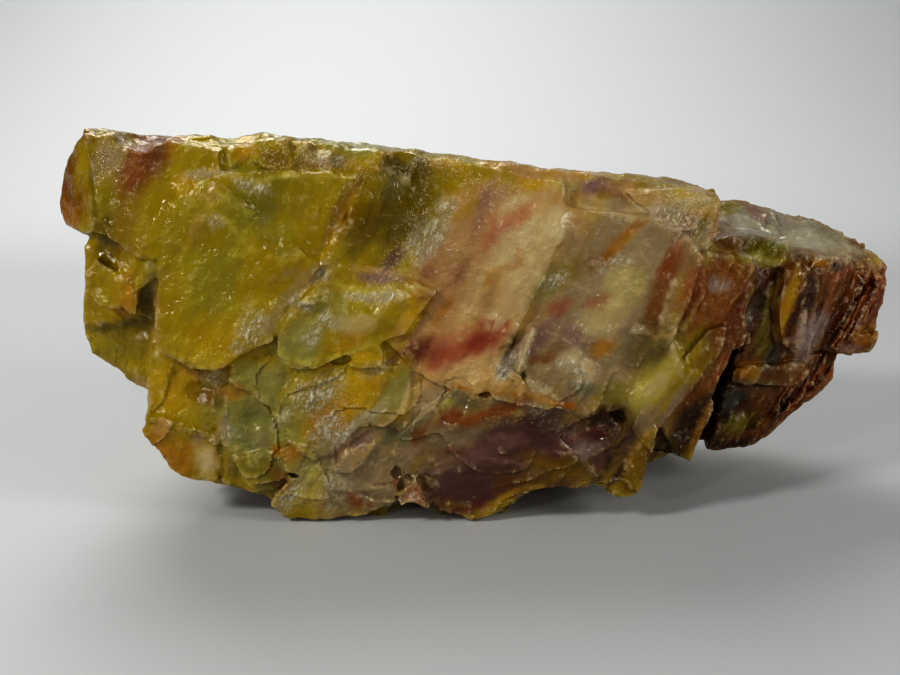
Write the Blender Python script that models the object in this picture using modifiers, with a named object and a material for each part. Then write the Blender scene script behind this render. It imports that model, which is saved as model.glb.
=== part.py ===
"""A hand specimen of petrified wood: one rough, broken piece of silicified log.

The stone is built the way such a piece comes about. Large masses, each the convex hull of a few
corner points, give the bulk. Flakes, the thin plates left standing by the breaks on the front and the
back, are hulls of an outline and of the same outline a little further in. Splinters of wood fibre
stand along the torn edges at the right, and scoops take the shell-shaped scars out of it all. The
whole is then made one skin, worn, ribbed along the wood grain and set on its foot.

Lengths are in millimetres. X runs along the stone, Y from the viewer to the back, Z up.
"""

import bmesh
import bpy
import numpy as np
from mathutils import Euler, Matrix, Vector, noise

NAME = "petrified_wood"
MM = 0.001

# The grain of the log climbs to the right, and leans a little away from the viewer.
GRAIN = Vector((0.46, 0.10, 0.88)).normalized()

# The one skin that is drawn over the masses, how much its arrises are worn (from 0 to 1), and the
# triangles that are kept of it.
SKIN_VOXEL = 1.1
WEAR = 0.5
TRIANGLES = 9300
SMALLEST_EDGE = 0.01

# A flake reaches this far into the stone, and its root is this much wider than its face.
FLAKE_DEPTH = 9.0
FLAKE_FLARE = 1.10

# Relief of the skin: size across and height of each kind.
LUMP_SIZE = 11.0
LUMP_HEIGHT = 0.7
CHIP_SIZE = 4.0
CHIP_HEIGHT = 0.35
FIBRE_PITCH = 4.5
FIBRE_LENGTH = 45.0
FIBRE_HEIGHT = 0.9
PIT_SIZE = 4.0
PIT_DEPTH = 2.0

# The block whose top is the level that the stone rests on.
FLOOR_BLOCK = (300.0, 200.0, 20.0)

MASSES = {
    "head": [
        (-82.5, -19, 87.6), (-84.8, -17, 88), (-91, -11, 79), (-93.5, -10, 71),
        (-92, -12, 65.5), (-87, -16, 64.5), (-83, -23, 66), (-82.5, -21, 80),
        (-67, -19, 86.6), (-62, -25, 64), (-86, 8, 80), (-88, 12, 68), (-62, 20, 80), (-62, 26, 60),
    ],
    "left_flank": [
        (-86.5, -17, 62), (-87, -18, 56), (-86, -18, 45), (-88, -17, 41.5), (-87, -17, 36.5),
        (-81, -17, 33.5), (-75, -17, 28), (-68, -23, 64), (-66, -23, 40), (-68, -21, 30),
        (-85.4, -14, 66), (-80, -19, 68), (-70, -22, 70), (-80, 14, 70),
        (-82, 16, 60), (-80, 20, 42), (-60, 26, 62), (-60, 28, 34),
    ],
    "belly": [
        (-58, -23.6, 79), (-42, -23.2, 79.5), (-26, -23, 78), (-66, -17, 86), (-50, -18, 86.6),
        (-44.6, -18, 86.2), (-20, -20, 82.2), (-9.6, -20, 81.5),
        (2, -20, 78.4), (14, -19, 76.8), (30, -19, 77), (44, -18, 76), (52, -15, 73),
        (-68, -22.5, 60), (-57, -26, 57), (-40, -24.5, 70), (-15, -25, 68), (-20, -29, 50),
        (2, -28.5, 53), (28, -26, 54), (46, -21, 58),
        (-70, -23, 41), (-50, -28, 40), (-40, -29, 32), (-10, -31, 32), (22, -30, 28), (38, -25, 30),
        (54, -18, 45), (52, -16, 30),
        (-75, -18, 24), (-72, -19, 12), (-60, -23, 8), (-42, -26, 3), (-15, -28, 5), (0, -27, 2),
        (22, -26, 9), (34, -24, 10), (46, -16, 16), (42, -10, 11), (48, -10, 14),
        (-34, -23, -1), (4, -23, -1), (8, 20, -1), (-36, 20, -1),
        (-66, 0, 82), (-50, 12, 81.5), (-30, 14, 80.5), (-20, 9, 79), (-4, 2, 75), (26, -6, 73),
        (-76, 16, 68), (-73, 22, 42), (-60, 27, 22), (-30, 29, 8), (20, 28, 9), (46, 27, 24),
        (54, 24, 52), (30, 28, 62), (-10, 30, 66), (-44, 28, 72), (-62, 25, 71),
    ],
    "tail_top": [
        (50, -6, 61), (56, -9, 59.5), (65, -9, 57), (74, -7, 56), (82, -3, 56.5), (90, 0, 54),
        (96, 2, 51), (30, 8, 64), (34, 27, 63), (60, 19, 65), (68, 20, 64.8), (75, 22, 61.5),
        (83, 22, 60), (87, 21, 59.6), (91, 18, 58), (95.5, 12, 55.5), (99.2, 4, 53),
        (99.8, 4, 48.7), (98, 5, 46), (96, 6, 38),
        (90, 6, 34), (84, 0, 35), (48, 0, 30), (46, 28, 30), (80, 25, 38), (92, 16, 38),
    ],
    "tail_low": [
        (50, -6, 36), (60, -5, 36), (76, -3, 34), (84, 0, 32), (86, 3, 25), (80, 4, 18.5),
        (72, 2, 13.5), (62, 0, 10.5), (54, -4, 10), (44, 0, 12), (44, 26, 16), (64, 27, 22),
        (82, 20, 29), (84, 12, 33),
    ],
    "upper_book": [
        (62, -12, 56.5), (68.6, -11.5, 57), (74.4, -11, 55.6), (79, -9.5, 53.5), (79, -9.5, 37.5),
        (78.2, -9.5, 32.5), (76.6, -9.5, 28.7), (74.3, -10, 27.7), (68.5, -11.5, 27.9),
        (60, -12.5, 28.7), (61.5, -13, 33), (62.5, -13.5, 44),
        (60, 8, 58), (78, 8, 56), (76, 8, 30), (58, 8, 30),
    ],
    "end_book": [
        (78, -8, 54.5), (81, -6.5, 56.3), (85.6, -5, 56.8), (90.5, -3.5, 54.1), (93.1, -3, 51.7),
        (97.1, -1, 49.8), (97.9, -0.5, 46.8), (97.3, -0.5, 43.1), (95.5, -1, 38), (96.1, -1, 35.7),
        (94.9, -1.5, 33.2), (90.8, -3, 31.4), (87.1, -4, 32.4), (85.2, -5, 34.4), (78.5, -8.6, 34.5),
        (78.5, -8.8, 43), (80, 12, 54), (96, 10, 50), (94, 10, 38), (84, 10, 36),
    ],
    "lower_book": [
        (60.5, -9, 27.5), (66, -9, 28), (75.5, -8, 28), (80.3, -6.5, 31), (81, -5, 34.8),
        (85, -4, 34.3), (86.6, -3, 29.3), (86.7, -3, 26), (81.7, -4, 23.5), (77.3, -5, 18.4),
        (72.8, -6, 14.6), (67.1, -7, 10.2), (63.5, -8, 9.4), (58, -9, 8.8), (56.3, -9, 9.4),
        (57.7, -10, 14.1), (59.3, -10, 19.7),
        (60, 10, 28), (84, 8, 30), (76, 8, 18), (58, 8, 13),
    ],
}

# Each flake: its outline as seen from the front (x, z), where its face stands (y at the middle of
# the outline), and how the face leans back with height and turns back to the right, in mm per mm.
FLAKES = {
    "head_front": ([(-82.5, 87.4), (-76, 87), (-66, 86.8), (-60, 85.5), (-54, 84), (-54, 78), (-58, 70),
                    (-63, 62), (-69, 61), (-74, 62), (-79, 66), (-81.5, 75)], -25.0, 0.13, 0.0),
    "yellow_plate": ([(-62, 77), (-58, 78.5), (-54, 78), (-45, 69), (-33, 60), (-39, 53), (-43, 50),
                      (-44, 43.5), (-50, 41.5), (-57, 36.5), (-62, 37.5), (-69.5, 41.5), (-69, 50),
                      (-68, 60), (-66, 70)], -28.3, 0.10, -0.07),
    "leaf": ([(-78, 57.5), (-76, 58.5), (-74, 55), (-73, 53), (-73.5, 48), (-75, 48.5), (-77, 51)],
             -27.5, 0.02, 0.05),
    "leaf_shoulder": ([(-77.5, 57), (-77, 62), (-75, 65), (-67.5, 63.5), (-67.5, 58), (-73, 54)],
                      -26.2, 0.10, 0.0),
    "flank_chip": ([(-85.5, 57), (-82.5, 60.5), (-79, 58), (-77, 54), (-77, 50), (-82, 49.5),
                    (-84.5, 52)], -24.0, 0.10, -0.12),
    "flank_wedge": ([(-73, 54.5), (-70.5, 61), (-68.5, 57), (-68.5, 53)], -25.6, 0.05, 0.0),
    "flank_recess": ([(-74.5, 46), (-74, 54), (-71, 56), (-68.5, 54), (-68, 45.5), (-71, 45)],
                     -25.2, 0.04, 0.06),
    "green_slab": ([(-60.5, 77), (-57, 79), (-53.5, 80), (-50, 78.6), (-45, 78.2), (-40.5, 79.8),
                    (-36, 78.8), (-30, 79.2), (-24, 78.6), (-30, 66), (-34, 59), (-46, 56), (-56, 66)],
                   -25.9, 0.10, 0.02),
    "crest_left": ([(-62, 80), (-59, 85.4), (-46, 86.2), (-40, 85.6), (-39, 80), (-48, 79)],
                   -21.8, 0.50, 0.0),
    "ridge_end": ([(-38, 57), (-34, 61.5), (-30, 63), (-28, 60), (-32, 56), (-36, 54)],
                  -28.2, 0.20, 0.0),
    "rose_sheet": ([(-26, 70), (-16, 70.5), (0, 70), (8, 70), (14, 71), (19, 71), (18, 66),
                    (14.5, 61.5), (11, 54), (9.5, 47), (6, 38), (3, 33), (-4, 32.5), (-13, 37),
                    (-17, 42), (-20, 50), (-33, 60), (-30, 67)], -29.3, 0.13, -0.01),
    "rose_top": ([(-27, 69), (-24.5, 79), (-20, 82.4), (-9.6, 81.7), (2, 78.7), (14, 77), (19.5, 77),
                  (19, 71), (10, 69.5), (-10, 69)], -23.8, 0.60, -0.01),
    "arrowhead": ([(-38, 52.5), (-31, 56.5), (-10, 54.8), (-8, 55), (-10, 53), (-15, 45.5), (-20, 44),
                   (-27, 41), (-33, 38.5), (-40, 37.5), (-43, 41), (-41, 48)], -31.6, 0.03, -0.02),
    "arrowhead_top": ([(-38, 52.5), (-34, 56), (-29, 60.5), (-18, 58.3), (-8, 55.5), (-10, 54.5)],
                      -31.2, 0.42, 0.0),
    "pale_shell": ([(14.5, 66), (16, 71), (18, 71.8), (19.5, 70), (18.5, 65), (15, 62)],
                   -28.0, 0.17, 0.02),
    "right_plate": ([(12, 71), (19, 72.6), (28, 71.4), (33, 70.4), (40, 69), (46, 66), (49, 61),
                     (43, 55), (41, 48), (43, 43), (38, 35), (34, 28), (20, 27), (2, 36), (3, 57)],
                    -27.8, 0.13, 0.04),
    "top_strip": ([(14, 70), (17, 77), (30, 77.2), (44, 76.2), (52, 73.2), (47, 67),
                   (40, 68), (28, 70.4)], -22.2, 0.80, 0.04),
    "top_right": ([(33, 75), (44, 76), (52.5, 73.5), (52.5, 66), (50, 62), (46, 66), (38, 70)],
                  -23.3, 0.18, 0.14),
    "orange_flank": ([(50, 62), (51.5, 60), (59, 58), (62, 56.8), (60.5, 52.3), (61, 43.5), (60, 40),
                      (57, 34), (53.8, 26.2), (51, 21), (49.5, 14), (46, 15), (42, 23), (45, 33),
                      (48, 40), (43, 45), (40.5, 49), (43, 57)], -21.6, 0.09, 0.30),
    "flank_scale": ([(44, 58), (50, 60), (50, 52), (46, 44.5), (42, 46), (40.5, 50), (41.5, 54)],
                    -25.0, 0.12, 0.14),
    "edge_strip": ([(47, 36), (52, 44), (56, 45), (54, 38), (46, 27), (40, 20), (36.5, 21), (38, 27)],
                   -25.0, 0.06, 0.18),
    "glow_slope": ([(33, 30), (38, 36), (44, 42), (47, 36), (42, 28), (38, 20), (36, 22), (33, 26)],
                   -28.3, -0.05, 0.40),
    "under_streak": ([(41, 23), (49, 28), (49.5, 22), (48, 16), (46, 14), (39, 11.5), (37.5, 13)],
                     -21.0, 0.02, 0.22),
    "lower_yellow": ([(-72, 41), (-66, 40), (-60, 37), (-54, 35), (-54, 30), (-57, 22), (-63, 20),
                      (-69, 22), (-73.5, 24), (-73, 31)], -25.4, 0.02, -0.05),
    "foot_lobe": ([(-73.5, 25), (-70, 25.5), (-65.5, 22), (-62, 21), (-58, 20.5), (-57.3, 14),
                   (-58.5, 9.5), (-64, 9.5), (-69, 12), (-72.5, 17), (-75, 21.5)], -26.8, -0.10, -0.08),
    "olive_shard": ([(-53, 38), (-50, 39), (-45, 39), (-38, 37), (-36, 33), (-44, 27), (-46, 29.5),
                     (-52, 33.5), (-54, 34)], -28.6, 0.05, -0.05),
    "grey_block": ([(-54, 33.5), (-50, 32.5), (-45, 28), (-41, 24), (-37, 18), (-36, 15), (-40, 11),
                    (-43, 8), (-50, 6), (-57, 8.5), (-57, 14), (-58, 19), (-57, 24)],
                   -27.2, -0.04, -0.09),
    "grey_chip": ([(-53.5, 15.5), (-46, 17.5), (-43, 17), (-42, 14), (-41, 11), (-46, 10), (-51, 9)],
                  -28.9, 0.10, -0.05),
    "amber_chip": ([(-44, 16.5), (-40, 18.5), (-37, 17), (-35.5, 15), (-39, 12), (-42, 13.5)],
                   -30.0, 0.20, 0.0),
    "rough_yellow": ([(-38, 37), (-33, 38.5), (-25, 37.5), (-18, 38), (-13, 38), (-14, 32), (-20, 25),
                      (-31, 18), (-36, 16), (-41, 20), (-44, 27), (-42, 31)], -30.8, 0.03, -0.01),
    "yellow_tags": ([(-28, 38.5), (-26, 41), (-23, 42.5), (-20, 42.5), (-20, 38), (-25, 37.5)],
                    -32.0, 0.05, 0.0),
    "pale_blade": ([(-20, 38), (-14, 39), (-13.5, 33), (-15, 28), (-20, 24), (-24, 26)],
                   -31.6, 0.03, 0.0),
    "cream_lobe": ([(-31, 14), (-29, 18), (-24, 20.5), (-21.5, 20), (-24.5, 16), (-27.5, 13.5)],
                   -31.6, 0.05, 0.0),
    "pale_band": ([(-36, 15), (-31, 19), (-20, 29), (-14, 34), (-5, 33), (-9, 28), (-12, 26), (-17, 20),
                   (-19, 12), (-24, 8), (-32, 9)], -30.4, -0.02, 0.0),
    "bottom_cream": ([(-46, 4.5), (-42, 10), (-36, 14), (-30, 14), (-22, 15), (-17, 11), (-18, 6),
                      (-24, 1.8), (-32, 0.5), (-42, 1.4)], -29.6, -0.14, -0.02),
    "pink_crystal": ([(-17, 8), (-13, 12), (-11.5, 10), (-9.5, 4.5), (-16.5, 5)], -31.0, 0.0, 0.1),
    "purple_lobe": ([(-10.5, 11.5), (-4, 15), (5, 15.5), (12, 13.5), (17, 10.5), (10, 8), (6, 3),
                     (0, 0.6), (-5, 1.5), (-9, 4.5)], -29.0, -0.16, 0.02),
    "brown_face": ([(-17, 22), (-9, 28), (-5, 32.5), (3, 31), (12, 30), (22, 28), (27, 28.5), (33, 24),
                    (31, 19), (26, 16), (12, 15), (4, 16), (-4, 15), (-16, 12), (-18, 18)],
                   -31.0, -0.11, 0.03),
    "yellow_low": ([(6, 15.5), (15, 18.5), (24, 18), (28, 12), (26, 9), (15, 8.5), (10, 9)],
                   -29.8, -0.16, 0.03),
    "tan_wedge": ([(3, 33), (5, 37), (7.5, 38), (12, 34), (22, 28), (14, 29.5), (5, 31)],
                  -33.4, 0.10, 0.04),
    "purple_ledge": ([(9.5, 38), (12, 47), (16, 46.5), (22, 42), (28, 36), (22, 29), (14, 34)],
                     -31.0, 0.12, 0.08),
    "bright_rib": ([(12, 47.5), (13.8, 47), (11, 38), (9.3, 37.5)], -32.2, 0.10, 0.0),
    "foot_ridge": ([(39, 25), (41, 23), (39.8, 17), (38.2, 10), (36.5, 6.5), (34.5, 5.8), (31, 6.8),
                    (31.5, 10), (35, 17)], -28.6, 0.0, 0.14),
    "right_low": ([(30, 22), (36, 26), (37, 22), (32.5, 11), (31, 7.5), (28, 9), (24, 12), (24, 18)],
                  -28.6, -0.03, 0.08),
    "book_rib": ([(71, 56), (75, 55), (76, 45), (74.5, 36), (71, 38), (70, 43), (70, 50)],
                 -14.2, 0.02, 0.12),
    "book_lip": ([(58, 29), (61, 33), (70, 33), (77, 33), (77.5, 29.5), (74.3, 27.7), (68, 27.6)],
                 -13.8, 0.06, 0.14),
    "plateau_chunk": ([(53.9, 60.8), (57, 61.9), (64.6, 62.9), (69.3, 61.2), (72.3, 60.1), (74.3, 56),
                       (68.5, 56.1), (58, 58.9)], -10.5, 0.60, 0.05),
    "chip_under_end": ([(83, 36.5), (90, 37.5), (96, 37.5), (96.1, 35.7), (94.9, 33.4), (90.8, 31.6),
                        (87, 32.6)], -4.6, 0.05, 0.22),
}

# The same for the back of the stone, whose faces look the other way.
BACK_FLAKES = {
    "back_left": ([(-77, 64), (-70, 71), (-56, 73), (-36, 71), (-30, 52), (-37, 32), (-56, 24),
                   (-70, 36)], 31.0, -0.13, 0.12),
    "back_middle": ([(-40, 72), (-22, 69), (2, 64), (10, 58), (13, 38), (2, 14), (-26, 12), (-36, 30)],
                    35.5, -0.08, 0.02),
    "back_right": ([(4, 64), (34, 62), (53, 54), (54, 36), (44, 18), (16, 12), (8, 36)],
                   32.5, -0.10, -0.10),
    "back_low": ([(-58, 30), (-24, 31), (10, 32), (26, 20), (8, 3), (-36, 3), (-52, 12)],
                 30.0, 0.34, 0.0),
    "back_shell": ([(-17, 58), (-4, 62), (9, 55), (6, 44), (-6, 39), (-16, 46)], 38.4, -0.05, -0.05),
    "back_chip": ([(-66, 58), (-54, 62), (-47, 54), (-52, 44), (-64, 46)], 33.8, -0.10, 0.10),
    "back_tail": ([(52, 62), (72, 62), (84, 58), (88, 46), (78, 32), (56, 30)], 25.0, -0.02, -0.12),
}

# Rows of splinters on the fibrous faces at the right end: where the row of feet starts and ends,
# how many there are, and the length, width and height of one.
SPLINTER_ROWS = {
    "end_book": ((82.5, -8.4, 37.0), (90.5, -4.6, 36.5), 5, 15.0, 2.2, 1.2),
    "lower_book": ((66.5, -9.8, 14.5), (85.5, -4.6, 27.5), 8, 10.5, 2.4, 1.2),
    "flank_edge": ((53.5, -21.0, 33.0), (58.0, -17.5, 31.5), 3, 16.0, 1.8, 1.2),
    "flank_foot": ((46.0, -19.0, 16.0), (50.5, -16.0, 17.5), 3, 12.0, 1.8, 1.1),
}

# Each scoop is an ellipsoid: its middle, its half axes and a turn about Y in degrees.
SCOOPS = {
    "green_scar": ((-40.5, -35.5, 72), (15.5, 9.8, 11.5), -8),
    "head_hollow": ((-74.5, -38.5, 76), (9, 14, 12), 10),
    "valley": ((-66.5, -37, 72), (4.5, 11.5, 13), -22),
    "crest_notch_left": ((-71, -20, 91.5), (7.5, 30, 7.4), 0),
    "crest_notch_mid": ((-52, -24, 91), (9, 30, 6.6), 0),
    "olive_trough": ((-20, -56.4, 69), (26, 30, 36), 28),
    "rose_bowl": ((4, -60, 50), (14, 29.5, 19), 30),
    "right_bowl": ((30, -58, 55), (17, 31, 19), 20),
    "glow_bowl": ((40, -43.6, 37), (9, 16.5, 14), 30),
    "gloss_notch": ((7, -36, 41), (3.4, 6, 5), 18),
    "eye_hollow": ((22.5, -37, 37), (6.5, 6.5, 3.6), -38),
    "left_under": ((-14, -28, -3.5), (7, 10, 9.5), 0),
    "right_under": ((20, -22, -3.5), (13, 18, 11.5), 0),
    "book_hollow": ((64.5, -19, 47.5), (4.2, 7.5, 8), 8),
    "flank_gloss": ((56.5, -26, 54), (4.5, 6.5, 4), 0),
    "grey_hollow": ((-50, -36, 24), (7.5, 9.4, 7), 30),
    "yellow_hollow": ((-61.5, -33, 30.5), (6, 9, 4.5), 0),
    "lower_book_hollow": ((64, -17, 20.5), (6.5, 9, 6), 30),
    "lower_book_step": ((64, -12, 8), (12, 5, 6.5), -8),
    "flank_floor": ((-77, -27.5, 43.5), (9, 8, 5.5), 0),
    "crest_dent_a": ((-15, -25, 83.5), (4.5, 8, 4.2), 0),
    "crest_dent_b": ((-33, -22, 85.5), (3.5, 6, 3.6), 0),
    "plateau_hollow": ((80, 6, 64), (11, 12, 7), 0),
    "back_scar_a": ((-43, 47, 59), (14, 17, 17), 30),
    "back_scar_b": ((30, 52, 43), (19, 22, 15), -25),
    "back_scar_c": ((-12, 48, 24), (20, 17, 11), 0),
    "back_scar_d": ((-70, 36, 30), (14, 15, 12), 0),
    "back_scar_e": ((66, 38, 44), (14, 17, 12), 20),
    "top_scar": ((14, 20, 90), (24, 17, 19), 0),
    "top_hollow": ((-60, 16, 94), (22, 24, 18), 0),
    "end_scar_low": ((-100, 7, 49), (17, 15, 13), 0),
    "end_scar_high": ((-104, 5, 77), (15, 14, 11), 0),
    "end_notch": ((95, 0, 28), (7, 14, 4.5), 20),
}

# The open split between the main mass and the books at the right end: a long thin wedge.
SPLIT = [
    (58.2, -22, 40), (60.8, -22, 41), (54, -22, 30.5), (57.2, -22, 30.5), (50.2, -22, 15.4),
    (53.6, -22, 14), (50.4, -12, 6), (55, -12, 6), (62, -3, 35), (60.6, -3, 34.5), (56, -3, 10),
    (54.6, -3, 10),
]


def new_object(name, bm):
    """Puts a bmesh in the scene under a name."""
    mesh = bpy.data.meshes.new(name)
    bm.to_mesh(mesh)
    bm.free()
    made = bpy.data.objects.new(name, mesh)
    bpy.context.scene.collection.objects.link(made)
    return made


def hull(name, corners):
    """The convex hull of a few corners given in millimetres."""
    bm = bmesh.new()
    for corner in corners:
        bm.verts.new(Vector(corner) * MM)
    found = bmesh.ops.convex_hull(bm, input=bm.verts[:])
    spare = found["geom_interior"] + found["geom_unused"]
    unused = {item for item in spare if isinstance(item, bmesh.types.BMVert)}
    bmesh.ops.delete(bm, geom=list(unused), context="VERTS")
    bmesh.ops.recalc_face_normals(bm, faces=bm.faces[:])
    return new_object(name, bm)


def flake(name, outline, stand, lean, turn, depth=FLAKE_DEPTH):
    """A plate whose face is the outline, and whose root is the outline a little larger, further in."""
    middle_x = sum(x for x, z in outline) / len(outline)
    middle_z = sum(z for x, z in outline) / len(outline)
    corners = []
    for x, z in outline:
        face = stand + lean * (z - middle_z) + turn * (x - middle_x)
        corners.append((x, face, z))
        root_x = middle_x + (x - middle_x) * FLAKE_FLARE
        root_z = min(z, middle_z + (z - middle_z) * FLAKE_FLARE)
        corners.append((root_x, face + depth, root_z))
    return hull(name, corners)


def splinters(row):
    """A row of long thin splinters of wood fibre, side by side, their length along the grain."""
    first, last, count, length, width, proud = row
    first, last = Vector(first), Vector(last)
    rng = np.random.default_rng(count)
    across = (last - first).normalized()
    outward = across.cross(GRAIN).normalized()
    made = []
    for index in range(count):
        foot = first.lerp(last, (index + 0.5) / count) + GRAIN * rng.uniform(-0.2, 0.2) * length
        tip = foot + GRAIN * length * rng.uniform(0.7, 1.15)
        half = across * width * rng.uniform(0.35, 0.6)
        stand = outward * proud * rng.uniform(0.5, 1.2)
        root = -outward * proud * 3.0
        corners = []
        for end, share in ((foot, 1.0), (tip, 0.55)):
            corners += [end + stand * share, end + half * share + root, end - half * share + root]
            corners.append(end + half * 0.5 * share + stand * 0.55 * share)
        made.append(hull("splinter_%d" % index, [tuple(corner) for corner in corners]))
    return made


def scoop(name, middle, half_axes, turn):
    """An ellipsoid that takes a shell-shaped scar out of the stone."""
    bm = bmesh.new()
    bmesh.ops.create_uvsphere(bm, u_segments=32, v_segments=20, radius=MM)
    place = Matrix.Translation(Vector(middle) * MM) @ Euler((0, np.radians(turn), 0)).to_matrix().to_4x4()
    bm.transform(place @ Matrix.Diagonal((*half_axes, 1)))
    return new_object(name, bm)


def group(name, objects):
    """Moves working shapes into a collection of their own, shown as wires and never rendered."""
    made = bpy.data.collections.new(name)
    bpy.context.scene.collection.children.link(made)
    for obj in objects:
        bpy.context.scene.collection.objects.unlink(obj)
        made.objects.link(obj)
        obj.display_type = "WIRE"
        obj.hide_render = True
    return made


def combine(stone, operation, others):
    """Joins a collection to the stone, or cuts it out."""
    step = stone.modifiers.new(operation.lower(), "BOOLEAN")
    step.operation = operation
    step.operand_type = "COLLECTION"
    step.collection = others
    step.solver = "EXACT"


def settle(obj):
    """Replaces an object's mesh by what its modifiers make of it."""
    graph = bpy.context.evaluated_depsgraph_get()
    mesh = bpy.data.meshes.new_from_object(obj.evaluated_get(graph))
    obj.modifiers.clear()
    obj.data = mesh


def keep_largest(bm):
    """Drops every closed shell but the largest, such as a bubble left between two masses."""
    left = set(bm.verts)
    shells = []
    while left:
        front = [left.pop()]
        shell = set(front)
        while front:
            for edge in front.pop().link_edges:
                for vert in edge.verts:
                    if vert in left:
                        left.remove(vert)
                        shell.add(vert)
                        front.append(vert)
        shells.append(shell)
    shells.sort(key=len)
    for shell in shells[:-1]:
        bmesh.ops.delete(bm, geom=list(shell), context="VERTS")


def fade(value, low, high):
    """0 below low, 1 above high, and a smooth climb between."""
    t = min(max((value - low) / (high - low), 0.0), 1.0)
    return t * t * (3.0 - 2.0 * t)


def relief(place, normal):
    """How far the surface stands out of its plain form at a place, all in millimetres."""
    along = place.dot(GRAIN)
    across = place - GRAIN * along
    lump = noise.noise(place / LUMP_SIZE) * LUMP_HEIGHT
    chips = noise.noise(place / CHIP_SIZE + Vector((7, 3, 1))) * CHIP_HEIGHT
    ridge = 1.0 - 2.0 * abs(noise.noise(across / FIBRE_PITCH + GRAIN * (along / FIBRE_LENGTH)))
    end_face = fade(place.x, 40, 58) * fade(normal.x, 0.15, 0.55)
    back_face = fade(place.y, 6, 20) * fade(normal.y, 0.2, 0.6)
    rim = fade(place.z, 79, 82) * fade(normal.z, 0.2, 0.6) * (1.0 - fade(place.y, -14, -6))
    pits = min(noise.noise(place / PIT_SIZE), 0.15) - 0.15
    return lump + chips + ridge * FIBRE_HEIGHT * max(0.6 * end_face, back_face) + pits * PIT_DEPTH * rim


def weather(stone):
    """Wears the arrises, then gives the skin its lumps, chips, fibres and pits."""
    bm = bmesh.new()
    bm.from_mesh(stone.data)
    keep_largest(bm)
    bmesh.ops.smooth_vert(
        bm, verts=bm.verts[:], factor=WEAR, use_axis_x=True, use_axis_y=True, use_axis_z=True)
    bm.normal_update()
    moves = [(vert, vert.normal * relief(vert.co / MM, vert.normal) * MM) for vert in bm.verts]
    for vert, move in moves:
        vert.co += move
    bm.to_mesh(stone.data)
    bm.free()


def thin_out(stone):
    """Brings the skin down to the triangles that its form needs."""
    step = stone.modifiers.new("thin_out", "DECIMATE")
    step.ratio = TRIANGLES / (2 * len(stone.data.polygons))
    step.use_collapse_triangulate = True
    settle(stone)


def cut_foot(stone):
    """Cuts the small flat spot that the stone rests on."""
    bm = bmesh.new()
    bmesh.ops.create_cube(bm, size=1.0)
    size = Vector(FLOOR_BLOCK) * MM
    bm.transform(Matrix.Translation((0, 0, -size.z / 2)) @ Matrix.Diagonal((*size, 1)))
    floor = new_object("floor_block", bm)
    combine(stone, "DIFFERENCE", group("foot_cutter", [floor]))
    settle(stone)
    bpy.data.objects.remove(floor)


def centre(stone):
    """Puts the origin under the middle of the stone, at the level of its foot."""
    corners = np.array([vert.co for vert in stone.data.vertices])
    low, high = corners.min(axis=0), corners.max(axis=0)
    middle = (low + high) / 2
    stone.data.transform(Matrix.Translation((-middle[0], -middle[1], -low[2])))


def finish(stone):
    """Gives the stone its material and the collection that bears its name."""
    bm = bmesh.new()
    bm.from_mesh(stone.data)
    bmesh.ops.triangulate(bm, faces=bm.faces[:])
    bmesh.ops.dissolve_degenerate(bm, dist=SMALLEST_EDGE * MM, edges=bm.edges[:])
    bmesh.ops.triangulate(bm, faces=bm.faces[:])
    bm.to_mesh(stone.data)
    bm.free()
    stone.data.name = NAME
    stone.data.materials.clear()
    stone.data.materials.append(silicified_wood())
    home = bpy.data.collections.new(NAME)
    bpy.context.scene.collection.children.link(home)
    bpy.context.scene.collection.objects.unlink(stone)
    home.objects.link(stone)


def silicified_wood():
    """The overall colour of the stone: olive-brown chalcedony with a waxy break."""
    material = bpy.data.materials.new("silicified_wood")
    material.use_nodes = True
    shader = material.node_tree.nodes["Principled BSDF"]
    shader.inputs["Base Color"].default_value = (0.30, 0.20, 0.06, 1.0)
    shader.inputs["Roughness"].default_value = 0.38
    shader.inputs["Metallic"].default_value = 0.0
    return material


def main():
    for obj in list(bpy.data.objects):
        bpy.data.objects.remove(obj)
    pieces = [hull(name, corners) for name, corners in MASSES.items()]
    pieces += [flake(name, *spec) for name, spec in FLAKES.items()]
    pieces += [flake(name, *spec, depth=-FLAKE_DEPTH) for name, spec in BACK_FLAKES.items()]
    for row in SPLINTER_ROWS.values():
        pieces += splinters(row)
    stone = pieces.pop(list(MASSES).index("belly"))
    stone.name = NAME
    scoops = [scoop(name, *spec) for name, spec in SCOOPS.items()]
    scoops.append(hull("split", SPLIT))
    combine(stone, "UNION", group("joined", pieces))
    combine(stone, "DIFFERENCE", group("cutters", scoops))
    settle(stone)
    for obj in pieces + scoops:
        bpy.data.objects.remove(obj)
    skin = stone.modifiers.new("one_skin", "REMESH")
    skin.mode = "VOXEL"
    skin.voxel_size = SKIN_VOXEL * MM
    settle(stone)
    weather(stone)
    thin_out(stone)
    cut_foot(stone)
    centre(stone)
    finish(stone)


main()
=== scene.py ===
"""The look of a hand specimen of petrified wood: a rough, broken piece of silicified log.

The stone is shaped again from the same masses, flakes and scoops as its solid, with a much finer
skin, and takes the solid's place in the frame. Its minerals are painted on by patches and bands that
follow the grain of the log, among them a few painted shade, shadow, highlights and reflections, and
its nodes add streaks, grains painted pale as glints, bruises, pale arrises that are partly a painted
highlight, gloss and a waxy depth.

Lengths are in millimetres. X runs along the stone, Y from the viewer to the back, Z up.
"""

import math

import bmesh
import bpy
import numpy as np
from mathutils import Euler, Matrix, Vector

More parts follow.
